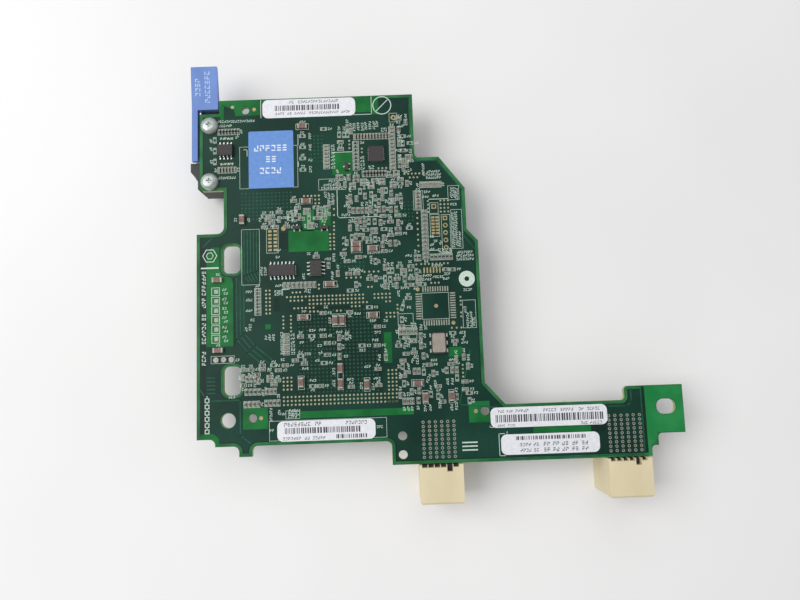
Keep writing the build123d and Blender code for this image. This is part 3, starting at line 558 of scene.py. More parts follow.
# Fields without copper: (left, bottom, right, top)
bare_fields = [
    (20.5, 55.0, 34.0, 62.3), (25.2, 62.0, 29.2, 69.2), (31.0, 62.0, 34.8, 69.2),
    (35.8, 81.0, 42.6, 88.8), (44.4, 102.8, 49.6, 108.2), (23.4, 0.0, 60.4, 2.2),
    (51.5, 17.0, 54.0, 27.0), (72.6, 18.2, 77.0, 21.4), (50.0, 101.9, 52.0, 108.2),
    (99.0, -7.3, 117.6, -5.5), (-2.2, 101.4, -1.0, 107.0), (12.4, 29.4, 14.2, 31.0),
    (15.6, 12.0, 17.2, 13.6), (56.6, 66.6, 58.2, 68.0), (60.4, 27.0, 61.8, 28.4),
]
bare_shapes = [
    [(-7.0, 24.2), (1.8, 24.2), (1.8, 45.0), (1.2, 47.0), (-1.8, 47.6), (-2.7, 50.0), (-2.7, 57.4),
     (-5.4, 57.4), (-7.0, 54.8)],
    [(-9.0, -5.6), (-5.4, -5.6), (-4.1, -6.4), (-4.0, -8.0), (-2.8, -8.0), (-3.2, -5.4), (-5.0, -4.0),
     (-9.0, -4.2)],
]
# Bare fields round a hole: (left, bottom, right, top, hole x, hole y)
bare_fields_with_hole = [
    (4.8, -3.0, 12.9, 3.9, 8.0, 0.5), (78.3, -3.3, 85.2, 3.5, 83.6, 0.3),
]
hole_gap = 0.1
ear_hole_gap = 0.15
fields = Pieces()
for edges in bare_fields:
    fields.prism(box_outline(*edges), 0, mask_field_height)
for outline in bare_shapes:
    fields.prism(outline, 0, mask_field_height)
fields.plate([(3.0, 103.0), (11.5, 103.0), (11.5, 108.3), (-2.3, 108.3), (-2.3, 107.2), (2.4, 105.4)],
             hole_near(6.4, 104.8, hole_gap), 0, mask_field_height)
for left, bottom, right, top, x, y in bare_fields_with_hole:
    fields.plate(box_outline(left, bottom, right, top), hole_near(x, y, hole_gap), 0, mask_field_height)
fields.piece("bare_laminate_fields", "laminate", "board_laminate")

# The ear carries no copper planes at all
ear = Pieces()
ear.plate(box_outline(135.8, -8.4, 148.0, 6.5), hole_near(142.5, -0.25, ear_hole_gap), 0,
          mask_field_height)
ear.prism([(135.8, -15.7), (136.8, -15.7), (136.8, -12.2), (138.2, -11.4), (139.1, -10.2),
           (139.1, -8.4), (135.8, -8.4)], 0, mask_field_height)
ear.piece("ear_bare_laminate", "ear", "board_laminate")

# Lighter rim along the board's edge, where the copper planes stop short, with a darker line inside
# it, and lighter rims round the two slots and the hole at the origin: (x, y, width)
rim_width = 1.05
rim_start = 0.02
shade_width = 0.4
slot_rim_width = 0.8
datum_rim_width = 0.2
rim_height = mask_field_height * 0.7
slot_rim_height = mask_field_height * 0.9
shade_height = mask_field_height * 0.8
rimmed_holes = [(1.4, 53.1, slot_rim_width), (1.4, 12.8, slot_rim_width), (0.0, 0.0, datum_rim_width)]
rim = Pieces()
shade = Pieces()
rim.loop(inset(board_outline, rim_start), inset(board_outline, rim_width), 0, rim_height)
shade.loop(inset(board_outline, rim_width), inset(board_outline, rim_width + shade_width), 0, rim_height)
for x, y, width in rimmed_holes:
    rim.loop(hole_near(x, y, width), hole_near(x, y, rim_start), 0, slot_rim_height)
rim.piece("edge_rim", "rim", "board_laminate")

# Gaps between copper planes and strips kept dark: (left, bottom, right, top)
for edges in (
    (23.0, 7.6, 50.6, 36.4), (-9.1, -4.0, -7.2, 57.6), (134.9, -14.6, 135.7, 6.4),
    (1.9, 24.0, 2.6, 47.0), (15.3, 35.2, 17.2, 39.8), (17.4, 56.0, 20.3, 61.6),
    (118.0, -7.4, 122.6, -5.4),
):
    shade.prism(box_outline(*edges), 0, shade_height)
shade.piece("plane_gaps", "deep", "board_laminate")

# Traces and seams that show as faint lines in the mask, each by its corners
seam_lines = [
    [(-6.0, 6.5), (3.9, 6.5), (3.9, -4.8), (7.0, -7.3)], [(-8.2, 57.6), (-4.9, 61.0)],
    [(-9.1, 10.2), (-7.9, 8.3)], [(79.7, 20.0), (75.4, 2.6), (88.0, 1.2), (128.6, 1.2)],
    [(134.6, 5.9), (134.6, -14.4)], [(131.4, 5.9), (131.4, 1.4), (129.6, 0.4), (124.0, 0.4)],
    [(89.0, -15.2), (134.0, -15.2)], [(82.8, 54.0), (79.2, 58.8), (79.2, 74.0)],
    [(62.6, 106.9), (62.6, 86.6)], [(63.4, 84.9), (71.4, 84.9), (78.8, 75.0)],
]
# Three bundles of traces that run side by side
for step in range(3):
    x = 2.95 + 1.2 * step
    seam_lines.append([(x, 46.6 - step), (x, 26.4 + step), (x + 3.6, 22.0 + step),
                       (x + 9.0, 17.4 + step)])
for step in range(5):
    x = 5.6 + 1.05 * step
    seam_lines.append([(x, 62.4), (x, 47.4 + 0.4 * step), (x + 1.4, 45.6)])
for step in range(5):
    seam_lines.append([(-6.8, 9.0 + 1.25 * step), (-4.4, 9.0 + 1.25 * step)])
seams = Pieces()
for points in seam_lines:
    stroke(seams, points, seam_width, 0, seam_height)


def grid_places(left, bottom, columns, rows, step_x, step_y):
    """Places in columns and rows, column by column."""
    return [(left + i * step_x, bottom + j * step_y) for i in range(columns) for j in range(rows)]


# Vias under the mask, in faint grids: (left, bottom, columns, rows)
grid = 1.27
for left, bottom, columns, rows in (
    (5.0, 66.6, 14, 8), (23.6, 8.2, 21, 22), (52.0, 42.0, 8, 3), (36.6, 49.4, 8, 3),
    (57.4, 64.4, 5, 6), (28.6, 86.0, 4, 8),
):
    for x, y in grid_places(left, bottom, columns, rows, grid, grid):
        seams.prism(disc(x, y, via_radius, faint_via_sides), 0, seam_height)
seams.piece("mask_over_traces", "trace", "board_laminate")

# Small chip parts in rows: (x, y, count, step x, step y, turned, kind). Bare ones are lands only
chip_rows = [
    (18.9, 43.7, 8, 1.43, 0, 90, "pale"),
    (66.4, 51.5, 12, 0, 1.43, 0, "pale"),
    (64.5, 68.7, 5, 0, 1.25, 0, "brown"),
    (65.7, 76.5, 8, 0.9, 0, 90, "pale"),
    (68.4, 51.6, 6, 1.27, 0, 90, "black"),
    (63.0, 51.5, 2, 1.2, 0, 90, "black"),
    (43.9, 82.9, 8, 0, 1.3, 0, "black"),
    (43.8, 94.1, 12, 1.05, 0, 90, "pale"),
    (56.4, 82.5, 12, 0, 1.3, 0, "pale"),
    (46.4, 81.0, 8, 1.05, 0, 90, "black"),
    (-2.5, 97.4, 7, 1.05, 0, 90, "black"),
    (-2.6, 84.0, 6, 1.05, 0, 90, "pale"),
    (33.9, 83.7, 7, 0, 1.25, 0, "pale"),
    (19.2, 21.2, 6, 0, 1.2, 0, "pale"),
    (10.0, 34.6, 8, 0, 1.14, 0, "black"),
    (57.5, 4.3, 3, 1.3, 0, 90, "brown"),
    (57.0, 27.0, 5, 1.25, 0, 90, "brown"),
    (42.6, 68.4, 5, 1.5, 0, 90, "brown"),
    (51.2, 68.6, 2, 1.6, 0, 90, "brown"),
    (55.2, 68.4, 2, 1.8, 0, 90, "brown"),
    (-4.1, 87.0, 3, 0, 3.8, 90, "bare"),
    (25.8, 83.2, 4, 0, 3.95, 0, "bare"),
    (5.6, 5.0, 4, 1.4, 0, 90, "brown"),
    (12.4, 5.2, 4, 1.35, 0, 90, "black"),
    (6.0, 9.0, 4, 1.4, 0, 90, "black"),
    (12.6, 9.0, 3, 1.35, 0, 90, "brown"),
    (6.2, 13.2, 3, 1.4, 0, 90, "brown"),
]
# Small chip parts that stand alone: (x, y, turned, kind)
chip_places = [
    (31.6, 34.1, 0, "brown"), (40.4, 34.1, 0, "brown"), (24.0, 26.6, 0, "brown"),
    (27.7, 26.6, 0, "bare"), (31.5, 26.6, 0, "brown"), (32.8, 24.1, 0, "brown"),
    (32.7, 20.3, 0, "brown"), (23.9, 20.2, 0, "bare"), (36.7, 25.8, 90, "brown"),
    (36.7, 22.8, 90, "brown"), (39.2, 26.0, 90, "bare"), (36.7, 19.6, 90, "brown"),
    (49.4, 29.0, 0, "brown"), (49.2, 22.8, 0, "brown"), (44.2, 22.9, 0, "bare"),
    (51.9, 18.8, 90, "brown"), (36.8, 47.2, 90, "brown"), (40.4, 47.0, 0, "brown"),
    (43.1, 47.0, 0, "brown"), (25.1, 17.7, 0, "brown"), (31.6, 17.6, 0, "bare"),
    (18.8, 17.3, 0, "brown"), (27.7, 10.2, 0, "bare"), (30.1, 10.2, 0, "brown"),
    (40.3, 9.6, 0, "brown"), (49.3, 9.8, 0, "brown"), (49.2, 15.1, 0, "brown"),
    (22.1, 18.8, 0, "brown"), (57.3, 15.6, 90, "bare"), (57.6, 10.0, 90, "bare"),
    (60.0, 7.3, 90, "brown"), (62.1, 4.4, 90, "black"), (68.6, 5.5, 90, "bare"),
    (74.6, 5.2, 90, "black"), (66.0, 15.9, 0, "brown"), (73.2, 15.9, 0, "brown"),
    (64.3, 18.8, 90, "brown"), (61.2, 13.9, 90, "brown"), (62.6, 13.9, 90, "brown"),
    (64.2, 13.5, 90, "bare"), (67.3, 13.0, 90, "brown"), (71.7, 13.8, 90, "black"),
    (73.5, 13.9, 90, "brown"), (75.0, 13.9, 90, "brown"), (77.5, 18.0, 90, "brown"),
    (58.6, 19.7, 0, "brown"), (63.6, 22.2, 90, "brown"), (63.6, 25.4, 90, "brown"),
    (74.2, 26.0, 0, "bare"), (74.8, 23.4, 0, "brown"), (57.6, 31.0, 90, "bare"),
    (57.9, 35.0, 70, "bare"), (60.0, 38.1, 0, "black"), (54.2, 44.6, 90, "bare"),
    (56.5, 44.7, 0, "brown"), (59.0, 44.5, 90, "black"), (61.2, 44.7, 0, "brown"),
    (63.0, 46.9, 90, "black"), (72.8, 47.3, 0, "black"), (75.0, 47.2, 0, "black"),
    (43.4, 65.0, 90, "brown"), (44.8, 65.0, 90, "brown"), (47.6, 64.4, 90, "bare"),
    (49.6, 64.4, 90, "bare"), (51.6, 64.0, 90, "brown"), (54.9, 64.2, 0, "brown"),
    (46.6, 61.7, 0, "bare"), (52.7, 61.7, 0, "bare"), (57.4, 61.7, 0, "black"),
    (61.2, 61.8, 0, "bare"), (43.2, 59.6, 90, "brown"), (41.8, 59.2, 90, "bare"),
    (49.6, 58.3, 90, "bare"), (52.0, 56.4, 90, "brown"), (52.5, 54.2, 0, "brown"),
    (54.9, 59.6, 0, "brown"), (54.6, 56.8, 90, "brown"), (56.4, 56.8, 90, "brown"),
    (41.6, 73.1, 90, "brown"), (46.6, 73.3, 90, "brown"), (55.5, 74.0, 90, "brown"),
    (49.5, 50.8, 90, "bare"), (29.7, 53.1, 0, "brown"), (33.1, 97.3, 0, "bare"),
    (38.4, 95.1, 90, "bare"), (16.5, 15.8, 0, "brown"), (47.4, 45.0, 0, "black"),
    (49.4, 45.0, 90, "brown"), (42.8, 43.2, 90, "black"), (40.8, 41.3, 0, "bare"),
    (47.0, 35.5, 0, "bare"), (58.6, 77.2, 0, "bare"), (61.0, 77.2, 90, "brown"),
    (48.3, 69.0, 90, "brown"), (9.6, 14.6, 0, "black"), (43.8, 80.2, 0, "brown"),
]
for x, y, count, step_x, step_y, turned, kind in chip_rows:
    for i in range(count):
        chip_places.append((x + i * step_x, y + i * step_y, turned, kind))

# Sizes of a small chip part, its lands and its printed outline
chip_length = 1.25
chip_width = 0.66
chip_height = 0.45
chip_end = 0.3
chip_end_rise = 0.02
chip_body_gap = 0.04
chip_chamfer = 0.06
land_length = 0.52
land_spread = 1.3
outline_length = 2.2
outline_side = 1.16

# A column of square test lands by the left edge, each in a printed box (length, width)
test_land_x = -3.8
test_land_low_y = 26.7
test_land_count = 6
test_land_pitch = 3.15
test_land_side = 1.4
test_box_x = -4.0
test_box_outside = (2.75, 2.8)
test_box_inside = (2.4, 2.45)

# Lands without parts, in rows: (x, y, count, step x, step y, length, width)
land_rows = [
    (64.95, 40.85, 11, 0.82, 0, 0.42, 1.7), (64.95, 29.6, 11, 0.82, 0, 0.42, 1.8),
    (63.3, 31.1, 11, 0, 0.82, 1.8, 0.42), (74.7, 31.1, 11, 0, 0.82, 1.8, 0.42),
    (test_land_x, test_land_low_y, test_land_count, 0, test_land_pitch, test_land_side, test_land_side),
]
gold_rows = [
    (65.6, 47.2, 6, 1.05, 0, 0.5, 1.9), (14.3, 55.9, 6, 0, 1.27, 1.2, 0.75),
    (16.1, 55.9, 6, 0, 1.27, 1.2, 0.75), (69.2, 59.7, 6, 0, 1.08, 1.1, 0.7),
    (70.6, 59.7, 6, 0, 1.08, 1.1, 0.7),
]

# Fields of tented vias on the common grid: (x, y, columns, rows)
grid_vias = [
    (18.2, 4.4, 30, 3), (18.2, 9.4, 3, 4), (52.6, 8.2, 3, 6), (19.7, 39.8, 3, 1), (23.4, 39.8, 18, 1),
    (48.8, 39.8, 5, 1), (20.9, 38.55, 4, 1), (27.2, 38.55, 15, 1), (48.8, 38.55, 5, 1),
    (27.2, 37.25, 16, 1), (52.6, 37.25, 2, 1), (22.1, 36.0, 6, 1), (41.2, 36.0, 3, 1),
    (52.6, 32.1, 3, 2), (20.9, 28.4, 1, 5), (27.3, 34.7, 3, 1), (36.2, 34.7, 2, 1), (35.9, 62.0, 1, 3),
    (64.0, 66.9, 1, 1), (67.8, 67.0, 1, 4), (72.0, 67.0, 3, 4), (63.1, 49.3, 1, 1), (64.7, 49.35, 8, 1),
    (29.8, 71.4, 2, 2), (52.6, 4.4, 3, 1), (56.3, 33.4, 1, 3), (77.0, 11.6, 1, 4), (56.9, 84.9, 1, 1),
    (60.2, 80.5, 6, 1), (62.0, 79.2, 3, 1), (-2.0, 95.1, 4, 1), (-2.0, 86.2, 4, 1),
]
# Fields of tented vias with steps of their own: (x, y, columns, rows, step x, step y)
via_fields = [
    (18.4, 33.4, 1, 4, 0, -grid), (34.5, 55.5, 2, 5, 1.3, grid), (36.0, 67.1, 1, 2, 0, 2.1),
    (64.0, 53.6, 1, 3, 0, 2.0), (64.0, 59.4, 1, 4, 0, 1.9), (12.8, 34.6, 2, 7, 1.2, grid),
    (21.6, 41.3, 3, 1, 1.25, 0), (30.4, 42.3, 1, 2, 0, 1.3), (45.7, 47.4, 4, 1, 1.55, 0),
    (77.3, 31.4, 1, 2, 0, 1.3), (77.3, 35.3, 1, 3, 0, 1.3), (26.0, 74.0, 5, 1, 1.25, 0),
    (46.8, 42.3, 2, 1, 1.2, 0), (67.8, 42.9, 3, 1, 1.25, 0), (39.6, 45.6, 4, 1, 1.6, 0),
    (51.5, 82.8, 4, 1, 1.3, 0), (46.0, 88.6, 1, 2, 0, 1.3), (41.8, 90.2, 1, 3, 0, 1.3),
    (74.0, 27.7, 3, 1, 1.6, 0),
]
via_fields += [field + (grid, grid) for field in grid_vias]
# One wider via beside the guide hole at the upper left: (x, y, radius, sides)
wide_via = (2.0, 106.1, 0.6, 16)

# Where the board is printed: rows of letter-like marks, (x, y, length, turned), by their centres
word_places = [
    (3.2, 101.1, 13.2, 0), (-0.4, 99.6, 5.0, 0), (3.4, 95.6, 2.0, 45), (0.0, 95.1, 4.6, 0),
    (0.0, 86.1, 4.6, 0), (0.0, 81.3, 6.2, 0), (-5.4, 94.4, 1.6, 90), (-5.4, 91.6, 1.6, 90),
    (25.9, 100.1, 2.4, 0), (28.4, 95.0, 2.4, 90), (28.4, 91.0, 2.4, 90), (28.4, 86.5, 1.6, 0),
    (28.4, 83.3, 2.4, 90), (35.6, 78.9, 3.0, 0), (35.6, 77.6, 6.4, 0), (35.6, 76.5, 7.6, 0),
    (41.0, 96.4, 3.0, 60), (43.6, 97.6, 3.4, 90), (45.0, 97.8, 3.4, 90), (46.4, 97.6, 3.4, 90),
    (47.6, 97.8, 3.4, 90), (49.0, 98.0, 3.4, 90), (50.4, 98.0, 3.4, 90), (51.4, 98.4, 3.0, 90),
    (59.0, 101.0, 2.6, 0), (59.6, 97.4, 2.6, 0), (58.6, 94.4, 4.6, 90), (59.6, 92.0, 3.6, 90),
    (59.6, 88.8, 4.6, 0), (58.8, 86.4, 3.0, 90), (62.4, 85.0, 2.4, 0), (66.6, 81.8, 4.6, 90),
    (70.0, 81.0, 5.0, 0), (70.0, 80.0, 5.6, 0), (70.0, 78.9, 5.6, 0), (61.4, 81.4, 3.4, 30),
    (58.0, 80.6, 2.4, 90), (47.8, 78.0, 2.6, 90), (49.4, 77.6, 3.4, 90), (51.0, 78.4, 3.0, 90),
    (46.4, 76.2, 2.0, 90), (41.6, 75.6, 2.2, 90), (40.4, 70.2, 2.4, 0), (40.0, 67.0, 3.2, 0),
    (33.2, 74.2, 3.0, 90), (34.4, 73.4, 3.4, 90), (35.8, 72.8, 4.0, 90), (31.2, 70.0, 3.6, 0),
    (39.2, 59.3, 2.2, 0), (39.2, 57.2, 2.2, 0), (39.2, 55.3, 2.2, 0), (48.2, 59.0, 3.0, 90),
    (53.4, 58.0, 3.4, 90), (49.0, 53.8, 5.2, 0), (48.0, 51.4, 3.4, 90), (27.2, 54.2, 2.2, 0),
    (33.6, 52.2, 2.6, 0), (35.6, 52.6, 3.4, 90), (60.6, 52.4, 2.8, 0), (61.0, 50.3, 2.0, 0),
    (67.6, 74.0, 2.6, 0), (70.4, 72.6, 2.4, 0), (67.0, 72.4, 2.8, 0), (56.0, 71.3, 3.0, 0),
    (58.8, 69.4, 2.6, 90), (69.8, 57.0, 1.6, 0), (71.4, 56.4, 2.2, 60), (76.4, 69.4, 2.4, 0),
    (43.8, 47.9, 3.4, 0), (42.2, 48.4, 4.2, 0), (35.0, 46.6, 3.6, 90), (36.2, 43.0, 1.4, 0),
    (25.4, 46.6, 2.6, 90), (26.0, 41.8, 2.2, 90), (27.2, 41.6, 2.2, 90), (32.6, 36.1, 2.2, 0),
    (25.2, 34.8, 2.0, 0), (43.0, 33.6, 2.4, 0), (33.8, 31.6, 2.6, 90), (48.0, 31.0, 3.0, 0),
    (52.2, 30.9, 1.6, 0), (27.9, 28.5, 2.4, 0), (31.3, 28.5, 2.4, 0), (36.8, 27.6, 2.4, 0),
    (39.4, 27.6, 2.0, 0), (49.4, 27.1, 3.0, 0), (48.6, 24.6, 3.0, 0), (24.4, 24.6, 2.2, 0),
    (30.2, 23.4, 1.8, 0), (26.2, 20.8, 2.4, 0), (30.4, 21.0, 2.2, 30), (38.8, 19.6, 1.8, 0),
    (44.2, 21.4, 2.4, 0), (49.8, 18.8, 3.0, 90), (29.4, 18.6, 2.2, 0), (25.4, 16.0, 2.4, 0),
    (27.8, 12.1, 2.4, 0), (34.7, 14.8, 2.8, 90), (34.6, 10.9, 2.8, 90), (40.0, 12.0, 2.4, 0),
    (43.6, 9.8, 2.6, 90), (47.4, 9.4, 3.0, 90), (48.8, 12.0, 2.6, 0), (45.8, 16.0, 2.8, 0),
    (59.2, 15.6, 2.8, 90), (61.0, 18.0, 3.4, 60), (62.2, 17.6, 3.2, 90), (56.4, 12.6, 2.8, 90),
    (65.6, 11.4, 3.4, 70), (67.8, 9.8, 2.8, 90), (71.8, 10.2, 2.8, 90), (73.4, 10.2, 2.8, 90),
    (64.2, 1.8, 2.6, 90), (65.8, 2.0, 2.4, 90), (69.0, 2.6, 3.0, 90), (72.8, 1.8, 3.0, 90),
    (74.4, 2.4, 3.2, 90), (57.4, 1.9, 1.6, 90), (58.7, 1.9, 1.6, 90), (60.0, 1.9, 1.6, 90),
    (61.9, 2.1, 2.2, 90), (67.6, 17.4, 2.6, 0), (73.6, 17.3, 2.4, 0), (79.0, 17.8, 2.6, 90),
    (77.4, 26.1, 2.6, 0), (77.8, 24.4, 2.4, 60), (78.0, 22.8, 3.0, 0), (61.2, 24.0, 1.8, 0),
    (58.4, 22.8, 3.2, 80), (59.6, 23.2, 3.2, 80), (63.8, 28.2, 2.4, 90), (65.4, 28.0, 2.0, 90),
    (66.6, 45.4, 3.6, 0), (66.4, 44.2, 3.4, 0), (70.2, 44.9, 4.0, 0), (72.8, 44.2, 3.0, 0),
    (73.2, 45.8, 3.0, 0), (70.0, 48.6, 4.4, 0), (79.8, 40.2, 3.4, 0), (51.2, 45.2, 3.0, 0),
    (59.0, 41.6, 3.2, 0), (56.8, 39.8, 2.4, 90), (58.2, 36.6, 2.4, 70), (53.6, 42.2, 3.0, 90),
    (49.2, -3.6, 2.6, 0), (20.9, 1.8, 3.4, 0), (20.9, 0.6, 3.4, 0),
    (79.4, 30.0, 5.4, 90), (80.6, 30.4, 5.8, 90), (78.6, 33.6, 3.0, 90), (81.4, 29.6, 3.6, 90),
    (79.4, 52.9, 6.0, 0), (79.4, 51.8, 6.4, 0), (79.4, 50.6, 6.2, 0), (76.0, 60.6, 12.6, 90),
    (77.0, 61.0, 12.6, 90), (78.0, 57.4, 5.6, 90), (75.8, 73.4, 4.2, 90), (76.8, 73.4, 4.2, 90),
    (77.6, 73.0, 4.2, 90), (1.2, 7.6, 2.4, 0), (6.0, 5.4, 2.4, 0),
    (5.2, 9.9, 1.8, 0), (11.4, 8.6, 2.6, 90), (12.4, 9.4, 2.4, 90), (13.4, 16.0, 2.2, 90),
    (14.4, 14.2, 2.4, 90), (7.0, 14.2, 2.4, 90), (8.0, 14.4, 2.4, 90), (9.6, 16.4, 1.8, 0),
    (13.6, 16.2, 2.2, 0), (16.4, 17.4, 2.0, 0), (18.0, 19.2, 2.2, 0), (17.8, 24.6, 7.6, 90),
    (12.6, 26.6, 2.2, 90), (13.8, 26.6, 2.6, 90), (15.1, 26.6, 2.6, 90), (6.2, 29.6, 2.2, 90),
    (7.4, 30.2, 2.6, 90), (8.2, 32.6, 1.8, 0), (7.1, 35.8, 2.4, 0), (7.1, 39.3, 2.4, 0),
    (7.1, 42.0, 2.4, 0), (17.0, 40.9, 3.2, 0), (17.0, 41.8, 3.2, 0), (18.4, 43.8, 5.4, 0),
    (11.4, 48.8, 3.2, 90), (12.6, 48.8, 3.4, 90), (16.8, 53.4, 2.2, 0), (17.2, 55.8, 1.8, 0),
    (13.0, 63.4, 1.6, 0), (15.2, 64.0, 1.6, 0), (16.0, 66.2, 2.8, 0), (19.4, 66.8, 3.4, 0),
    (20.6, 68.6, 1.8, 0), (23.2, 68.8, 2.2, 0), (22.6, 65.6, 2.6, 0), (2.8, 66.6, 1.2, 90),
    (7.2, 66.4, 2.2, 90), (11.0, 66.3, 1.6, 90), (22.0, 63.6, 1.8, 30), (3.2, 19.6, 1.8, 0),
    (-3.2, 24.6, 1.6, 0), (-3.2, 48.2, 1.2, 0), (14.1, -3.6, 1.6, 0), (13.9, 1.4, 4.6, 90),
    (16.6, 2.2, 2.0, 60), (17.8, 1.6, 2.4, 0), (21.6, 2.6, 4.4, 0), (21.6, 1.4, 4.4, 0),
]
# Two words beside each of the test lands along the left edge
for step in range(test_land_count):
    word_places.append((-1.1, 43.1 - test_land_pitch * step, 2.0, 0))
    word_places.append((-0.6, 41.8 - test_land_pitch * step, 2.2, 0))

# What rises this far over the board is a part, and this much room is kept round parts, vias and words
part_rise = 0.04
part_margin = 0.4
via_margin = 0.5
word_margin = 0.5
# Length and height that a scattered chip, a placed chip and a word beside a chip take up
chip_room = (2.35, 1.2)
placed_chip_room = (2.2, 1.2)
side_word_room = (2.0, 0.85)
side_word_length = 2.2
# Scattered chips keep to this pitch
swarm_pitch = 1.25
# Where a word may stand beside a part that lies along X: (x, y, turned)
side_word_spots = [(2.2, 0.0, 0), (0.0, 1.2, 0), (-1.2, 0.0, 90), (0.0, -1.2, 0)]


def places_taken(way, level):
    """Boxes of the parts on one face of the board, as (left, bottom, right, top)."""
    taken = []
    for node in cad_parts.values():
        for polygon in node.data.polygons:
            rise = (polygon.center.z / MM - level) * way
            if polygon.normal.z * way > upright_share and rise > part_rise:
                corners = [node.data.vertices[v].co / MM for v in polygon.vertices]
                taken.append(edges_of(corners, part_margin))
    return taken


def claim(taken, x, y, length, height, turned):
    """Take a place for something of that size, where nothing stands yet."""
    across, up = (height, length) if turned == 90 else (length, height)
    left, bottom, right, top = x - across / 2, y - up / 2, x + across / 2, y + up / 2
    if any(left < r and l < right and bottom < t and b < top for l, b, r, t in taken):
        return False
    taken.append((left, bottom, right, top))
    return True


def scatter(taken, areas, part_kinds):
    """Small parts in the free places of some areas, as (x, y, turned, kind)."""
    found = []
    for left, bottom, right, top, tries in areas:
        for attempt in range(tries):
            x = round(random.uniform(left, right) / swarm_pitch) * swarm_pitch
            y = round(random.uniform(bottom, top) / swarm_pitch) * swarm_pitch
            turned = random.choice((0, 90))
            if claim(taken, x, y, *chip_room, turned):
                found.append((x, y, turned, random.choice(part_kinds)))
    return found


def words_beside(taken, parts):
    """A short word beside each part that has room for one, as (x, y, length, turned)."""
    found = []
    for x, y, turned, kind in parts:
        for away_x, away_y, way in side_word_spots:
            if turned == 90:
                away_x, away_y, way = away_y, away_x, 90 - way
            if claim(taken, x + away_x, y + away_y, *side_word_room, way):
                found.append((x + away_x, y + away_y, side_word_length, way))
                break
    return found


# Crowded areas of small parts: (left, bottom, right, top, tries)
swarm_areas = [
    (41.0, 56.0, 58.5, 75.5, 270), (55.5, 3.0, 66.0, 30.0, 40), (4.6, 4.4, 17.4, 17.0, 110),
    (66.0, 2.6, 79.0, 18.0, 24), (20.6, 62.6, 35.0, 72.6, 110), (51.5, 42.0, 66.0, 49.0, 80),
    (37.0, 76.0, 62.0, 82.0, 140), (55.0, 83.0, 62.5, 100.0, 60), (12.0, 63.0, 22.0, 69.0, 60),
    (37.0, 90.0, 44.0, 98.0, 20), (32.0, 50.0, 44.0, 60.0, 16),
]
taken = places_taken(1, 0.0)
for x, y, turned, kind in chip_places:
    claim(taken, x, y, *placed_chip_room, 90 if turned > 45 else 0)
for x, y, columns, rows, step_x, step_y in via_fields:
    taken.append((x - via_margin, y - via_margin, x + (columns - 1) * step_x + via_margin,
                  y + (rows - 1) * abs(step_y) + via_margin))
for x, y, count, step_x, step_y, length, width in land_rows + gold_rows:
    taken.append((x - length / 2, y - width / 2, x + (count - 1) * step_x + length / 2,
                  y + (count - 1) * step_y + width / 2))
random.seed(7)
chip_places += scatter(taken, swarm_areas, ("brown", "bare", "black", "pale", "pale"))
for x, y, length, turned in word_places:
    reach_x, reach_y = (word_margin, length / 2) if turned > 45 else (length / 2, word_margin)
    taken.append((x - reach_x, y - reach_y, x + reach_x, y + reach_y))
word_places += words_beside(taken, chip_places)

# What small chips are made of: one collection of solids for each finish
kit_parts = ("ink", "land", "end", "black", "brown", "pale")
kit = {part: Pieces() for part in kit_parts}
ink, lands = kit["ink"], kit["land"]


def lay_chip(kit, x, y, turned, kind, base=0.0, way=1):
    """A printed outline, two lands and a chip part, on the face at base that looks up or down."""
    def levels(low, high):
        return sorted((base + way * low, base + way * high))

    def block(pieces, middle, length, width, low, high):
        foot = rectangle(*middle, length, width, turned)
        top = rectangle(*middle, length - 2 * chip_chamfer, width - 2 * chip_chamfer, turned)
        rings = [[(a, b, base + way * low) for a, b in foot],
                 [(a, b, base + way * (high - chip_chamfer)) for a, b in foot],
                 [(a, b, base + way * high) for a, b in top]]
        pieces.layers(rings[::way])

    c, s = math.cos(math.radians(turned)), math.sin(math.radians(turned))
    kit["ink"].loop(rectangle(x, y, outline_length, outline_side, turned),
                    rectangle(x, y, outline_length - 2 * outline_width,
                              outline_side - 2 * outline_width, turned), *levels(0, ink_height))
    for side in (-1, 1):
        reach = side * land_spread / 2
        kit["land"].prism(rectangle(x + reach * c, y + reach * s, land_length, chip_width, turned),
                          *levels(0, land_height))
    if kind == "bare":
        return
    block(kit[kind], (x, y), chip_length - 2 * chip_end, chip_width - chip_body_gap, land_height,
          chip_height)
    for side in (-1, 1):
        reach = side * (chip_length - chip_end) / 2
        block(kit["end"], (x + reach * c, y + reach * s), chip_end, chip_width, 0,
              chip_height + chip_end_rise)


for x, y, turned, kind in chip_places:
    lay_chip(kit, x, y, turned, kind)
kit["black"].piece("small_resistor_bodies", "resistor", "chip_black")
kit["brown"].piece("small_capacitor_bodies", "ceramic", "capacitor_ceramic")
kit["pale"].piece("small_pale_capacitor_bodies", "pale_ceramic", "capacitor_ceramic")
kit["end"].piece("small_part_ends", "chip_end", "solder_tin")

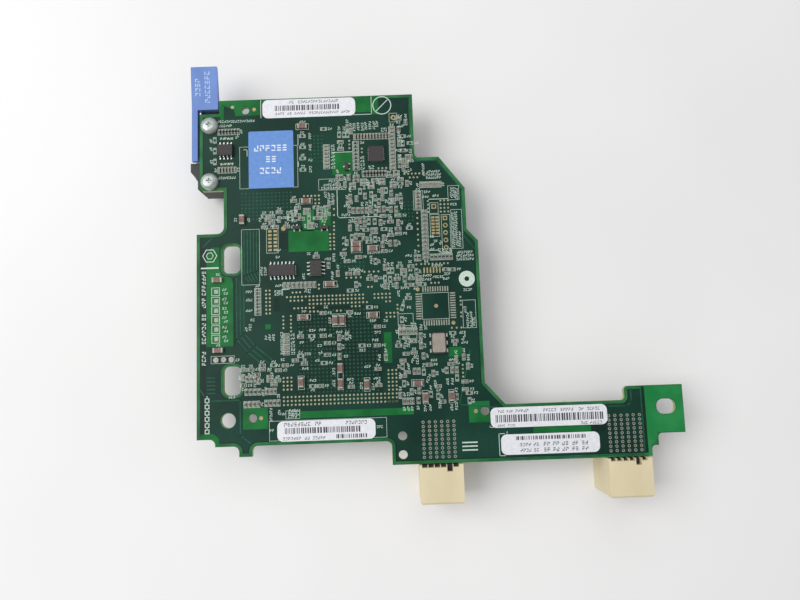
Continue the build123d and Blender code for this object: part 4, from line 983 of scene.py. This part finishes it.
# Printed boxes round parts and groups: (left, bottom, right, top)
printed_boxes = [
    (4.3, 77.2, 24.1, 91.9), (4.7, 44.3, 10.8, 63.2), (31.0, 75.8, 40.2, 79.7),
    (13.3, -7.0, 51.5, -0.6), (77.8, 27.5, 82.2, 36.8), (18.7, -0.1, 23.3, 2.6),
    (68.2, 58.5, 71.4, 66.2), (72.0, 53.3, 75.0, 66.0), (68.2, 66.4, 71.2, 70.2),
    (75.3, 54.2, 79.0, 67.6), (74.6, 70.9, 78.4, 75.9), (-5.6, 18.6, 2.2, 21.1),
    (13.1, 54.8, 17.1, 63.2), (56.3, 28.9, 61.4, 33.0), (56.3, 24.6, 62.4, 28.4),
    (62.9, 67.8, 66.2, 74.5), (64.4, 30.8, 73.4, 39.6), (24.4, 71.2, 28.8, 73.2),
    (41.4, 53.9, 45.2, 58.0), (46.9, 54.0, 50.9, 56.3), (55.6, 98.9, 58.4, 102.1),
    (35.9, 8.7, 37.8, 17.4), (22.9, 9.2, 25.0, 13.7), (44.5, 7.9, 46.5, 12.4),
    (23.0, 31.9, 27.5, 33.9), (45.9, 31.8, 50.3, 33.9), (34.6, 29.4, 36.7, 33.7),
    (36.9, 29.4, 39.0, 33.7), (31.9, 42.5, 36.5, 44.7), (63.5, 3.2, 65.4, 7.6),
    (72.0, 3.2, 73.9, 7.6), (60.0, 8.9, 64.1, 11.2), (23.6, 97.3, 28.1, 99.4),
]
for edges in printed_boxes:
    box_frame(ink, *edges, outline_width, 0, ink_height)

# Printed lines, each by its corners
printed_lines = [
    [(11.74, 102.0), (11.74, 108.2)], [(37.2, 75.8), (37.2, 66.6), (37.8, 66.1), (41.0, 66.1)],
    [(24.3, 92.0), (24.3, 95.6)], [(35.8, 88.9), (42.6, 88.9)],
    [(43.6, 102.0), (49.7, 102.0), (49.7, 108.2)],
    [(5.8, 90.9), (6.9, 90.9), (6.9, 88.6)], [(49.1, 74.8), (49.1, 70.0)],
    [(68.2, 71.4), (74.6, 71.4)], [(67.4, 53.9), (70.6, 53.9), (71.8, 52.9), (75.0, 52.9)],
    [(41.0, 66.1), (53.4, 66.1)], [(85.0, -4.6), (85.0, -5.1), (86.2, -5.1)],
    [(87.7, -14.2), (87.7, -7.2), (89.5, -7.2)], [(87.7, -14.2), (89.5, -14.2)],
    [(90.4, -7.2), (90.4, -6.6)], [(18.0, 42.4), (20.4, 42.4), (21.2, 43.0)],
    [(27.5, 46.8), (31.2, 46.8)], [(22.8, 47.2), (22.8, 50.4)], [(24.3, 86.0), (24.3, 84.4)],
]
for points in printed_lines:
    stroke(ink, points, ink_width, 0, ink_height)

# Plain marks where the board carries marks: a barred ring, a broad ring and a hexagon over a bar, with
# the rings as (x, y, outer radius, inner radius, sides), and three bars
for x, y, outer, inner, sides in (
    (53.3, 105.0, 3.25, 2.95, 40), (79.7, 43.9, 2.65, 0.8, 36),
    (-5.9, 54.6, 2.5, 2.2, 6), (-5.9, 54.6, 1.3, 1.05, 6),
):
    ink.loop(disc(x, y, outer, sides), disc(x, y, inner, sides), 0, ink_height)
ring_bar_width = 0.26
stroke(ink, [(51.2, 102.9), (55.4, 107.1)], ring_bar_width, 0, ink_height)
ink.prism(box_outline(-8.9, 50.2, -2.9, 50.7), 0, ink_height)
for y in (-9.6, -10.8, -12.0):
    ink.prism(rectangle(78.2, y, 5.0, 0.42), 0, ink_height)

# A row of printed links along the left edge
link_x = -6.9
link_low_y = -3.3
link_count = 6
link_pitch = 2.0
link_outside = (1.5, 1.45)
link_inside = (0.95, 0.9)
link_width = 0.3
for step in range(link_count):
    y = link_low_y + link_pitch * step
    ink.loop(rectangle(link_x, y, *link_outside), rectangle(link_x, y, *link_inside), 0, ink_height)
    stroke(ink, [(link_x, y + 0.7), (link_x, y + 1.3)], link_width, 0, ink_height)

# Strokes that letter-like marks are made of: (x, y, width, height) in letter heights
top_bar, middle_bar, bottom_bar = ((0.0, up, 0.62, 0.2) for up in (0.4, 0.0, -0.4))
high_post, low_post = (0.24, 0.2, 0.2, 0.56), (-0.24, -0.2, 0.2, 0.56)
mark_kinds = [
    (middle_bar, high_post, low_post), (top_bar, bottom_bar, low_post),
    (top_bar, bottom_bar, high_post), (bottom_bar, high_post, low_post),
    (top_bar, high_post, low_post), (top_bar, middle_bar, low_post),
    (middle_bar, bottom_bar, high_post), (top_bar, middle_bar, bottom_bar),
]
mark_pitch = 0.92
word_height = 0.82
# Each stroke of a mark is thicker than the first by one more such share, so no two faces share a plane
stroke_step_share = 0.12


def word(pieces, x, y, length, turned, height, level, thickness):
    """A row of letter-like marks, picked at random from kinds that are no real letters. The
    level is a number, or a function of y where the face climbs."""
    c, s = math.cos(math.radians(turned)), math.sin(math.radians(turned))
    level_at = level if callable(level) else lambda y: level
    count = max(2, int(length / (height * mark_pitch)))
    for i in range(count):
        middle = (i - (count - 1) / 2) * height * mark_pitch
        for order, (across, up, wide, tall) in enumerate(random.choice(mark_kinds)):
            a, b = middle + across * height, up * height
            outline = rectangle(x + a * c - b * s, y + a * s + b * c, wide * height, tall * height,
                                turned)
            pieces.layers([[(px, py, level_at(py) + lift) for px, py in outline]
                           for lift in (0, thickness * (1 + order * stroke_step_share))])


# The legend, and larger marks up the left edge: (y, length)
random.seed(31)
for x, y, length, turned in word_places:
    word(ink, x, y, length, turned, word_height, 0, ink_height)
edge_word_x = -7.9
edge_word_height = 1.3
for y, length in ((20.4, 5.6), (28.6, 7.6), (34.0, 1.6), (38.8, 4.6), (45.4, 8.4)):
    word(ink, edge_word_x, y, length, 90, edge_word_height, 0, ink_height)


def lay_rows(pieces, rows):
    """Lands in rows, as (x, y, count, step x, step y, length, width)."""
    for x, y, count, step_x, step_y, length, width in rows:
        for i in range(count):
            pieces.prism(rectangle(x + i * step_x, y + i * step_y, length, width), 0, land_height)


lay_rows(lands, land_rows)
for step in range(test_land_count):
    y = test_land_low_y + test_land_pitch * step
    ink.loop(rectangle(test_box_x, y, *test_box_outside), rectangle(test_box_x, y, *test_box_inside),
             0, ink_height)
lands.piece("tinned_lands", "land", "solder_tin")
ink.piece("printed_legend", "ink", "label_white")

# Gold lands: rows, square rings (x, y, side, hole), round rings (x, y, radius, hole) and discs
gold = Pieces()
lay_rows(gold, gold_rows)
for x, y, side, hole in ((73.3, 64.8, 1.5, 0.8), (69.7, 68.9, 1.6, 0.9)):
    gold.loop(rectangle(x, y, side, side), rectangle(x, y, hole, hole), 0, land_height)
for x, y, radius, hole in ((73.3, 62.3, 0.8, 0.45), (73.3, 59.8, 0.8, 0.45), (73.3, 57.25, 0.8, 0.45),
                           (73.3, 54.7, 0.8, 0.45), (57.1, 100.5, 0.95, 0.4)):
    gold.loop(disc(x, y, radius, land_sides), disc(x, y, hole, land_sides), 0, land_height)
for x, y, radius in ((9.45, 105.1, 0.65), (10.7, 0.5, 0.65), (80.6, 0.3, 0.65), (69.1, 35.2, 0.65),
                     (63.2, 40.9, 0.65), (74.6, 29.4, 0.65), (18.9, 63.1, 0.8)):
    gold.prism(disc(x, y, radius, land_sides), 0, land_height)
gold.piece("gold_lands", "gold_land", "contact_gold")

# Tented vias
vias = Pieces()
for field in via_fields:
    for x, y in grid_places(*field):
        vias.prism(disc(x, y, via_radius, via_sides), 0, land_height)
vias.prism(disc(*wide_via), 0, land_height)
vias.piece("tented_vias", "via", "contact_gold")

# Press-fit holes of the backplane connectors
press_columns = 6
press_rows = 9
press_step_x = 2.0
press_step_y = 1.4
press_low_y = -13.85
press_lefts = (63.3, 123.65)

# Room of a connector's wafers and tails, with its left and right counted from the first hole
wafer_left, wafer_bottom, wafer_right, wafer_top = -2.4, -15.0, 12.6, -1.0
rings = Pieces()
# Each bore is a thin dark disc of painted shade laid on the face, standing in for the shade down the hole
bore_shadows = Pieces()
for left in press_lefts:
    for x, y in grid_places(left, press_low_y, press_columns, press_rows, press_step_x, press_step_y):
        bore = disc(x, y, ring_inner, ring_sides)
        rings.loop(disc(x, y, ring_outer, ring_sides), bore, 0, land_height)
        bore_shadows.prism(bore, 0, mask_field_height)
rings.piece("press_fit_rings", "land", "solder_tin")
bore_shadows.piece("press_fit_bore_shadows", "hole", "board_laminate")

# Hidden side: rim, outlines round the packages, vias and small parts
under_kit = {part: Pieces() for part in kit_parts}
under_ink, under_lands = under_kit["ink"], under_kit["land"]
under_ink_low = underside - ink_height
under_rim = Pieces()
under_outline = face_loops("circuit_board", underside * MM)[0][::-1]
under_rim.loop(inset(under_outline, rim_start), inset(under_outline, rim_width),
               underside - rim_height, underside)
under_rim.piece("underside_edge_rim", "rim", "board_laminate")
package_gap = 0.8
package_margin = 1.2
hole_margin = 0.8
under_taken = places_taken(-1, underside)
for node_name in ("fibre_controller_substrate", "network_controller_substrate", "flash_memory_body",
                  "stacking_connector_housing", "crystal_can", "heat_sink"):
    package = [(corner.x / MM, corner.y / MM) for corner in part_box(node_name)]
    box_frame(under_ink, *edges_of(package, package_gap), ink_width, under_ink_low, underside)
    under_taken.append(edges_of(package, package_margin))
for hole in board_loops[1:]:
    under_taken.append(edges_of(hole, hole_margin))
for left in press_lefts:
    under_taken.append((left + wafer_left, wafer_bottom, left + wafer_right, wafer_top))
# Areas of small parts on the hidden side: (left, bottom, right, top, tries)
under_areas = [
    (-7.0, 22.0, 16.5, 48.0, 60), (28.5, 44.0, 36.5, 75.0, 70), (57.5, 27.5, 80.0, 50.5, 110),
    (57.5, 4.0, 78.0, 19.0, 80), (26.0, 77.5, 58.0, 100.0, 90), (5.0, 51.0, 12.0, 74.0, 40),
    (90.0, -13.5, 118.0, 0.0, 24), (4.6, 3.0, 16.4, 20.0, 30), (64.0, 67.0, 77.0, 73.0, 30),
]
under_chips = scatter(under_taken, under_areas, ("brown", "bare", "black", "pale"))
for x, y, turned, kind in under_chips:
    lay_chip(under_kit, x, y, turned, kind, underside, -1)
for x, y, length, turned in words_beside(under_taken, under_chips):
    word(under_ink, x, y, length, turned, word_height, under_ink_low, ink_height)
# Vias of the hidden side, where there is room: (left, bottom, columns, rows)
under_via_room = (0.9, 0.9)
for left, bottom, columns, rows in ((57.0, 20.5, 6, 4), (58.0, 28.6, 4, 8), (36.5, 44.5, 16, 3),
                                    (28.8, 63.0, 5, 8), (24.6, 78.4, 3, 9), (5.4, 64.6, 12, 6)):
    for x, y in grid_places(left, bottom, columns, rows, grid, grid):
        if claim(under_taken, x, y, *under_via_room, 0):
            under_lands.prism(disc(x, y, via_radius, via_sides), underside - land_height, underside)
under_ink.piece("underside_legend", "ink", "label_white")
under_lands.piece("underside_lands", "land", "solder_tin")
under_kit["end"].piece("underside_part_ends", "chip_end", "solder_tin")
under_kit["black"].piece("underside_resistors", "resistor", "chip_black")
under_kit["brown"].piece("underside_capacitors", "ceramic", "capacitor_ceramic")
under_kit["pale"].piece("underside_pale_capacitors", "pale_ceramic", "capacitor_ceramic")


def bar_code(pieces, left, bottom, length, height, level, seed):
    """Bars and gaps of changing width, from a plain formula."""
    unit = 0.155
    x, i = left, 0
    while x < left + length:
        bar = unit * (1.3 + (i * i * seed + i // 5) % 4 * 0.8)
        gap = unit * (1.2 + (i * (i + seed) // 3) % 3 * 0.9)
        if x + bar <= left + length:
            pieces.prism(box_outline(x, bottom, x + bar, bottom + height), level,
                         level + label_ink_height)
        x += bar + gap
        i += 1


# Bar prints on the labels: (left, bottom, length, height, seed)
label_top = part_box("serial_label")[1].z / MM
label_print = Pieces()
for left, bottom, length, height, seed in (
    (16.6, 104.2, 22.6, 1.9, 5), (18.4, -4.9, 25.4, 1.9, 4), (35.0, -6.8, 10.0, 1.3, 7),
    (86.9, -3.6, 35.0, 2.4, 5), (93.2, -9.4, 23.2, 1.2, 7),
):
    bar_code(label_print, left, bottom, length, height, label_top, seed)

# Lines of print on the labels: (x, y, length, height), by their centres
label_words = [
    (22.4, 107.2, 2.2, 0.95), (31.4, 107.2, 14.6, 0.95), (18.2, 103.2, 3.6, 0.85),
    (21.6, 103.2, 0.9, 0.85), (25.2, 103.2, 4.2, 0.85), (33.4, 103.2, 10.6, 0.85),
    (40.8, 103.2, 3.6, 0.85), (22.4, -1.9, 9.8, 1.2), (29.2, -1.9, 1.6, 1.2), (41.6, -1.9, 7.2, 1.1),
    (20.6, -6.4, 6.6, 0.95), (25.6, -6.4, 1.6, 0.95), (29.4, -6.4, 4.4, 0.95),
    (88.8, -0.1, 2.6, 0.8), (91.6, -0.1, 2.4, 0.8), (95.6, -0.1, 4.4, 0.95), (104.6, -0.1, 4.6, 0.95),
    (110.2, -0.1, 5.2, 0.95), (114.8, -0.1, 1.6, 0.95), (118.8, -0.1, 5.2, 0.95),
    (88.6, -4.6, 3.0, 0.7), (92.0, -4.6, 2.8, 0.7), (115.6, -4.6, 2.6, 0.9), (119.4, -4.6, 4.4, 0.9),
]
for y in (-10.9, -12.7):
    label_words += [(96.2, y, 4.0, 1.0), (99.6, y, 0.9, 1.0), (103.0, y, 2.4, 1.2)]
    label_words += [(x, y, 2.4, 1.2) for x in (106.0, 109.0, 112.2, 115.4)]
for x, y, length, height in label_words:
    word(label_print, x, y, length, 0, height, label_top, label_ink_height)
label_print.piece("label_bar_prints", "print", "wafer_black")

# Rows of letter-like marks on the install label, and two on the lever's pad: (x, y, length)
install_print = Pieces()
install_word_height = 2.1
pad_word_height = 1.75
for x, y, length in ((14.9, 91.2, 11.6), (15.0, 87.3, 4.4), (14.8, 83.3, 9.4)):
    word(install_print, x, y, length, 0, install_word_height, label_top, label_ink_height)
install_print.piece("install_label_marks", "white_print", "label_white")

# The lever's pad climbs from this place along Y, by this much for each millimetre
pad_foot = 105.49
pad_slope = 0.0864


def pad_level(y):
    """Height of the lever's pad face at a place along it, in millimetres."""
    return (y - pad_foot) * pad_slope


pad_print = Pieces()
for x, y, length in ((-9.7, 113.3, 6.6), (-6.4, 113.4, 11.4)):
    word(pad_print, x, y, length, 90, pad_word_height, pad_level, ink_height)
pad_print.piece("lever_pad_marks", "pad_print", "label_white", "lever")

# Pan head screws with a cross recess. The profile of the head is (radius, level), from its foot up
screw_places = [(-5.75, 99.6), (-5.75, 80.0)]
screw_profile = [
    (3.0, 0.0), (3.0, 0.5), (2.92, 0.86), (2.72, 1.2), (2.4, 1.5), (1.98, 1.72), (1.6, 1.82),
]
shank_radius = 1.25
# The recess: the reach of its arms, two places along them, half their width, its depth, and the size
# of its floor as a share of its mouth
recess_reach = 0.85
recess_far = 0.62
recess_near = 0.42
recess_half = 0.2
recess_depth = 0.5
recess_floor_share = 0.8
# The head is shaded smooth outside this radius, where a face looks up at least this much
dome_start = 1.7
dome_least_rise = 0.1
screw_low, screw_top = (corner.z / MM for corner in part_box("bracket_screws"))
cross = []
for quarter in range(4):
    c, s = round(math.cos(quarter * math.pi / 2)), round(math.sin(quarter * math.pi / 2))
    for a, b in ((recess_reach, -recess_half), (recess_reach, 0.0), (recess_reach, recess_half),
                 (recess_far, recess_half), (recess_near, recess_half), (recess_half, recess_half),
                 (recess_half, recess_near), (recess_half, recess_far)):
        cross.append((a * c - b * s, a * s + b * c))
screws = Pieces()
for x, y in screw_places:
    rings_up = []
    for radius, level in [(shank_radius, screw_low), (shank_radius, 0.0)] + screw_profile:
        rings_up.append([(x + radius * a / math.hypot(a, b), y + radius * b / math.hypot(a, b), level)
                         for a, b in cross])
    rings_up.append([(x + a, y + b, screw_top) for a, b in cross])
    rings_up.append([(x + recess_floor_share * a, y + recess_floor_share * b, screw_top - recess_depth)
                     for a, b in cross])
    screws.layers(rings_up)
screw_piece = screws.piece("pan_head_screws", "steel", "screw_steel")
for polygon in screw_piece.data.polygons:
    corners = [screw_piece.data.vertices[v].co / MM for v in polygon.vertices]
    reach = max(min(math.hypot(p.x - x, p.y - y) for x, y in screw_places) for p in corners)
    polygon.use_smooth = polygon.normal.z > dome_least_rise and reach > dome_start
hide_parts("bracket_screws")

# Floor: pale, matt and even, far wider than the view
floor_side = 4.0
bpy.ops.mesh.primitive_plane_add(size=floor_side, location=(*card_middle, standing_level))
floor = bpy.context.object
floor.name = "floor"
floor.data.materials.append(studio_paper())

# Light: an even pale room, a large soft box at the left and a weak one beyond the top edge
world = bpy.data.worlds.new("studio")
bpy.context.scene.world = world
world.use_nodes = True
background = world.node_tree.nodes["Background"]
background.inputs["Color"].default_value = linear("#F6F7F9")
background.inputs["Strength"].default_value = 0.55
soft_box_side = 0.6


def soft_lamp(name, place, power):
    """A square soft box aimed at the middle of the card, in metres and watts."""
    lamp = bpy.data.lights.new(name, "AREA")
    lamp.shape = "SQUARE"
    lamp.size = soft_box_side
    lamp.energy = power
    holder = bpy.data.objects.new(name, lamp)
    holder.location = place
    way = Vector((*card_middle, 0.0)) - Vector(place)
    holder.rotation_euler = way.to_track_quat("-Z", "Y").to_euler()
    bpy.context.scene.collection.objects.link(holder)


soft_lamp("left_soft_box", (-0.48, 0.14, 0.68), 4.5)
soft_lamp("top_soft_box", (0.1, 0.6, 0.7), 0.8)

# Camera: place in metres, turn in degrees, and lens and film width in millimetres
camera_data = bpy.data.cameras.new("camera")
camera_data.lens = 28.12
camera_data.sensor_width = 36.0
camera = bpy.data.objects.new("camera", camera_data)
camera.location = (0.056951, 0.015137, 0.206194)
camera.rotation_euler = Euler([math.radians(a) for a in (6.2006, 0.1472, -2.0124)])
bpy.context.scene.collection.objects.link(camera)
bpy.context.scene.camera = camera
bpy.context.scene.view_settings.view_transform = "Standard"
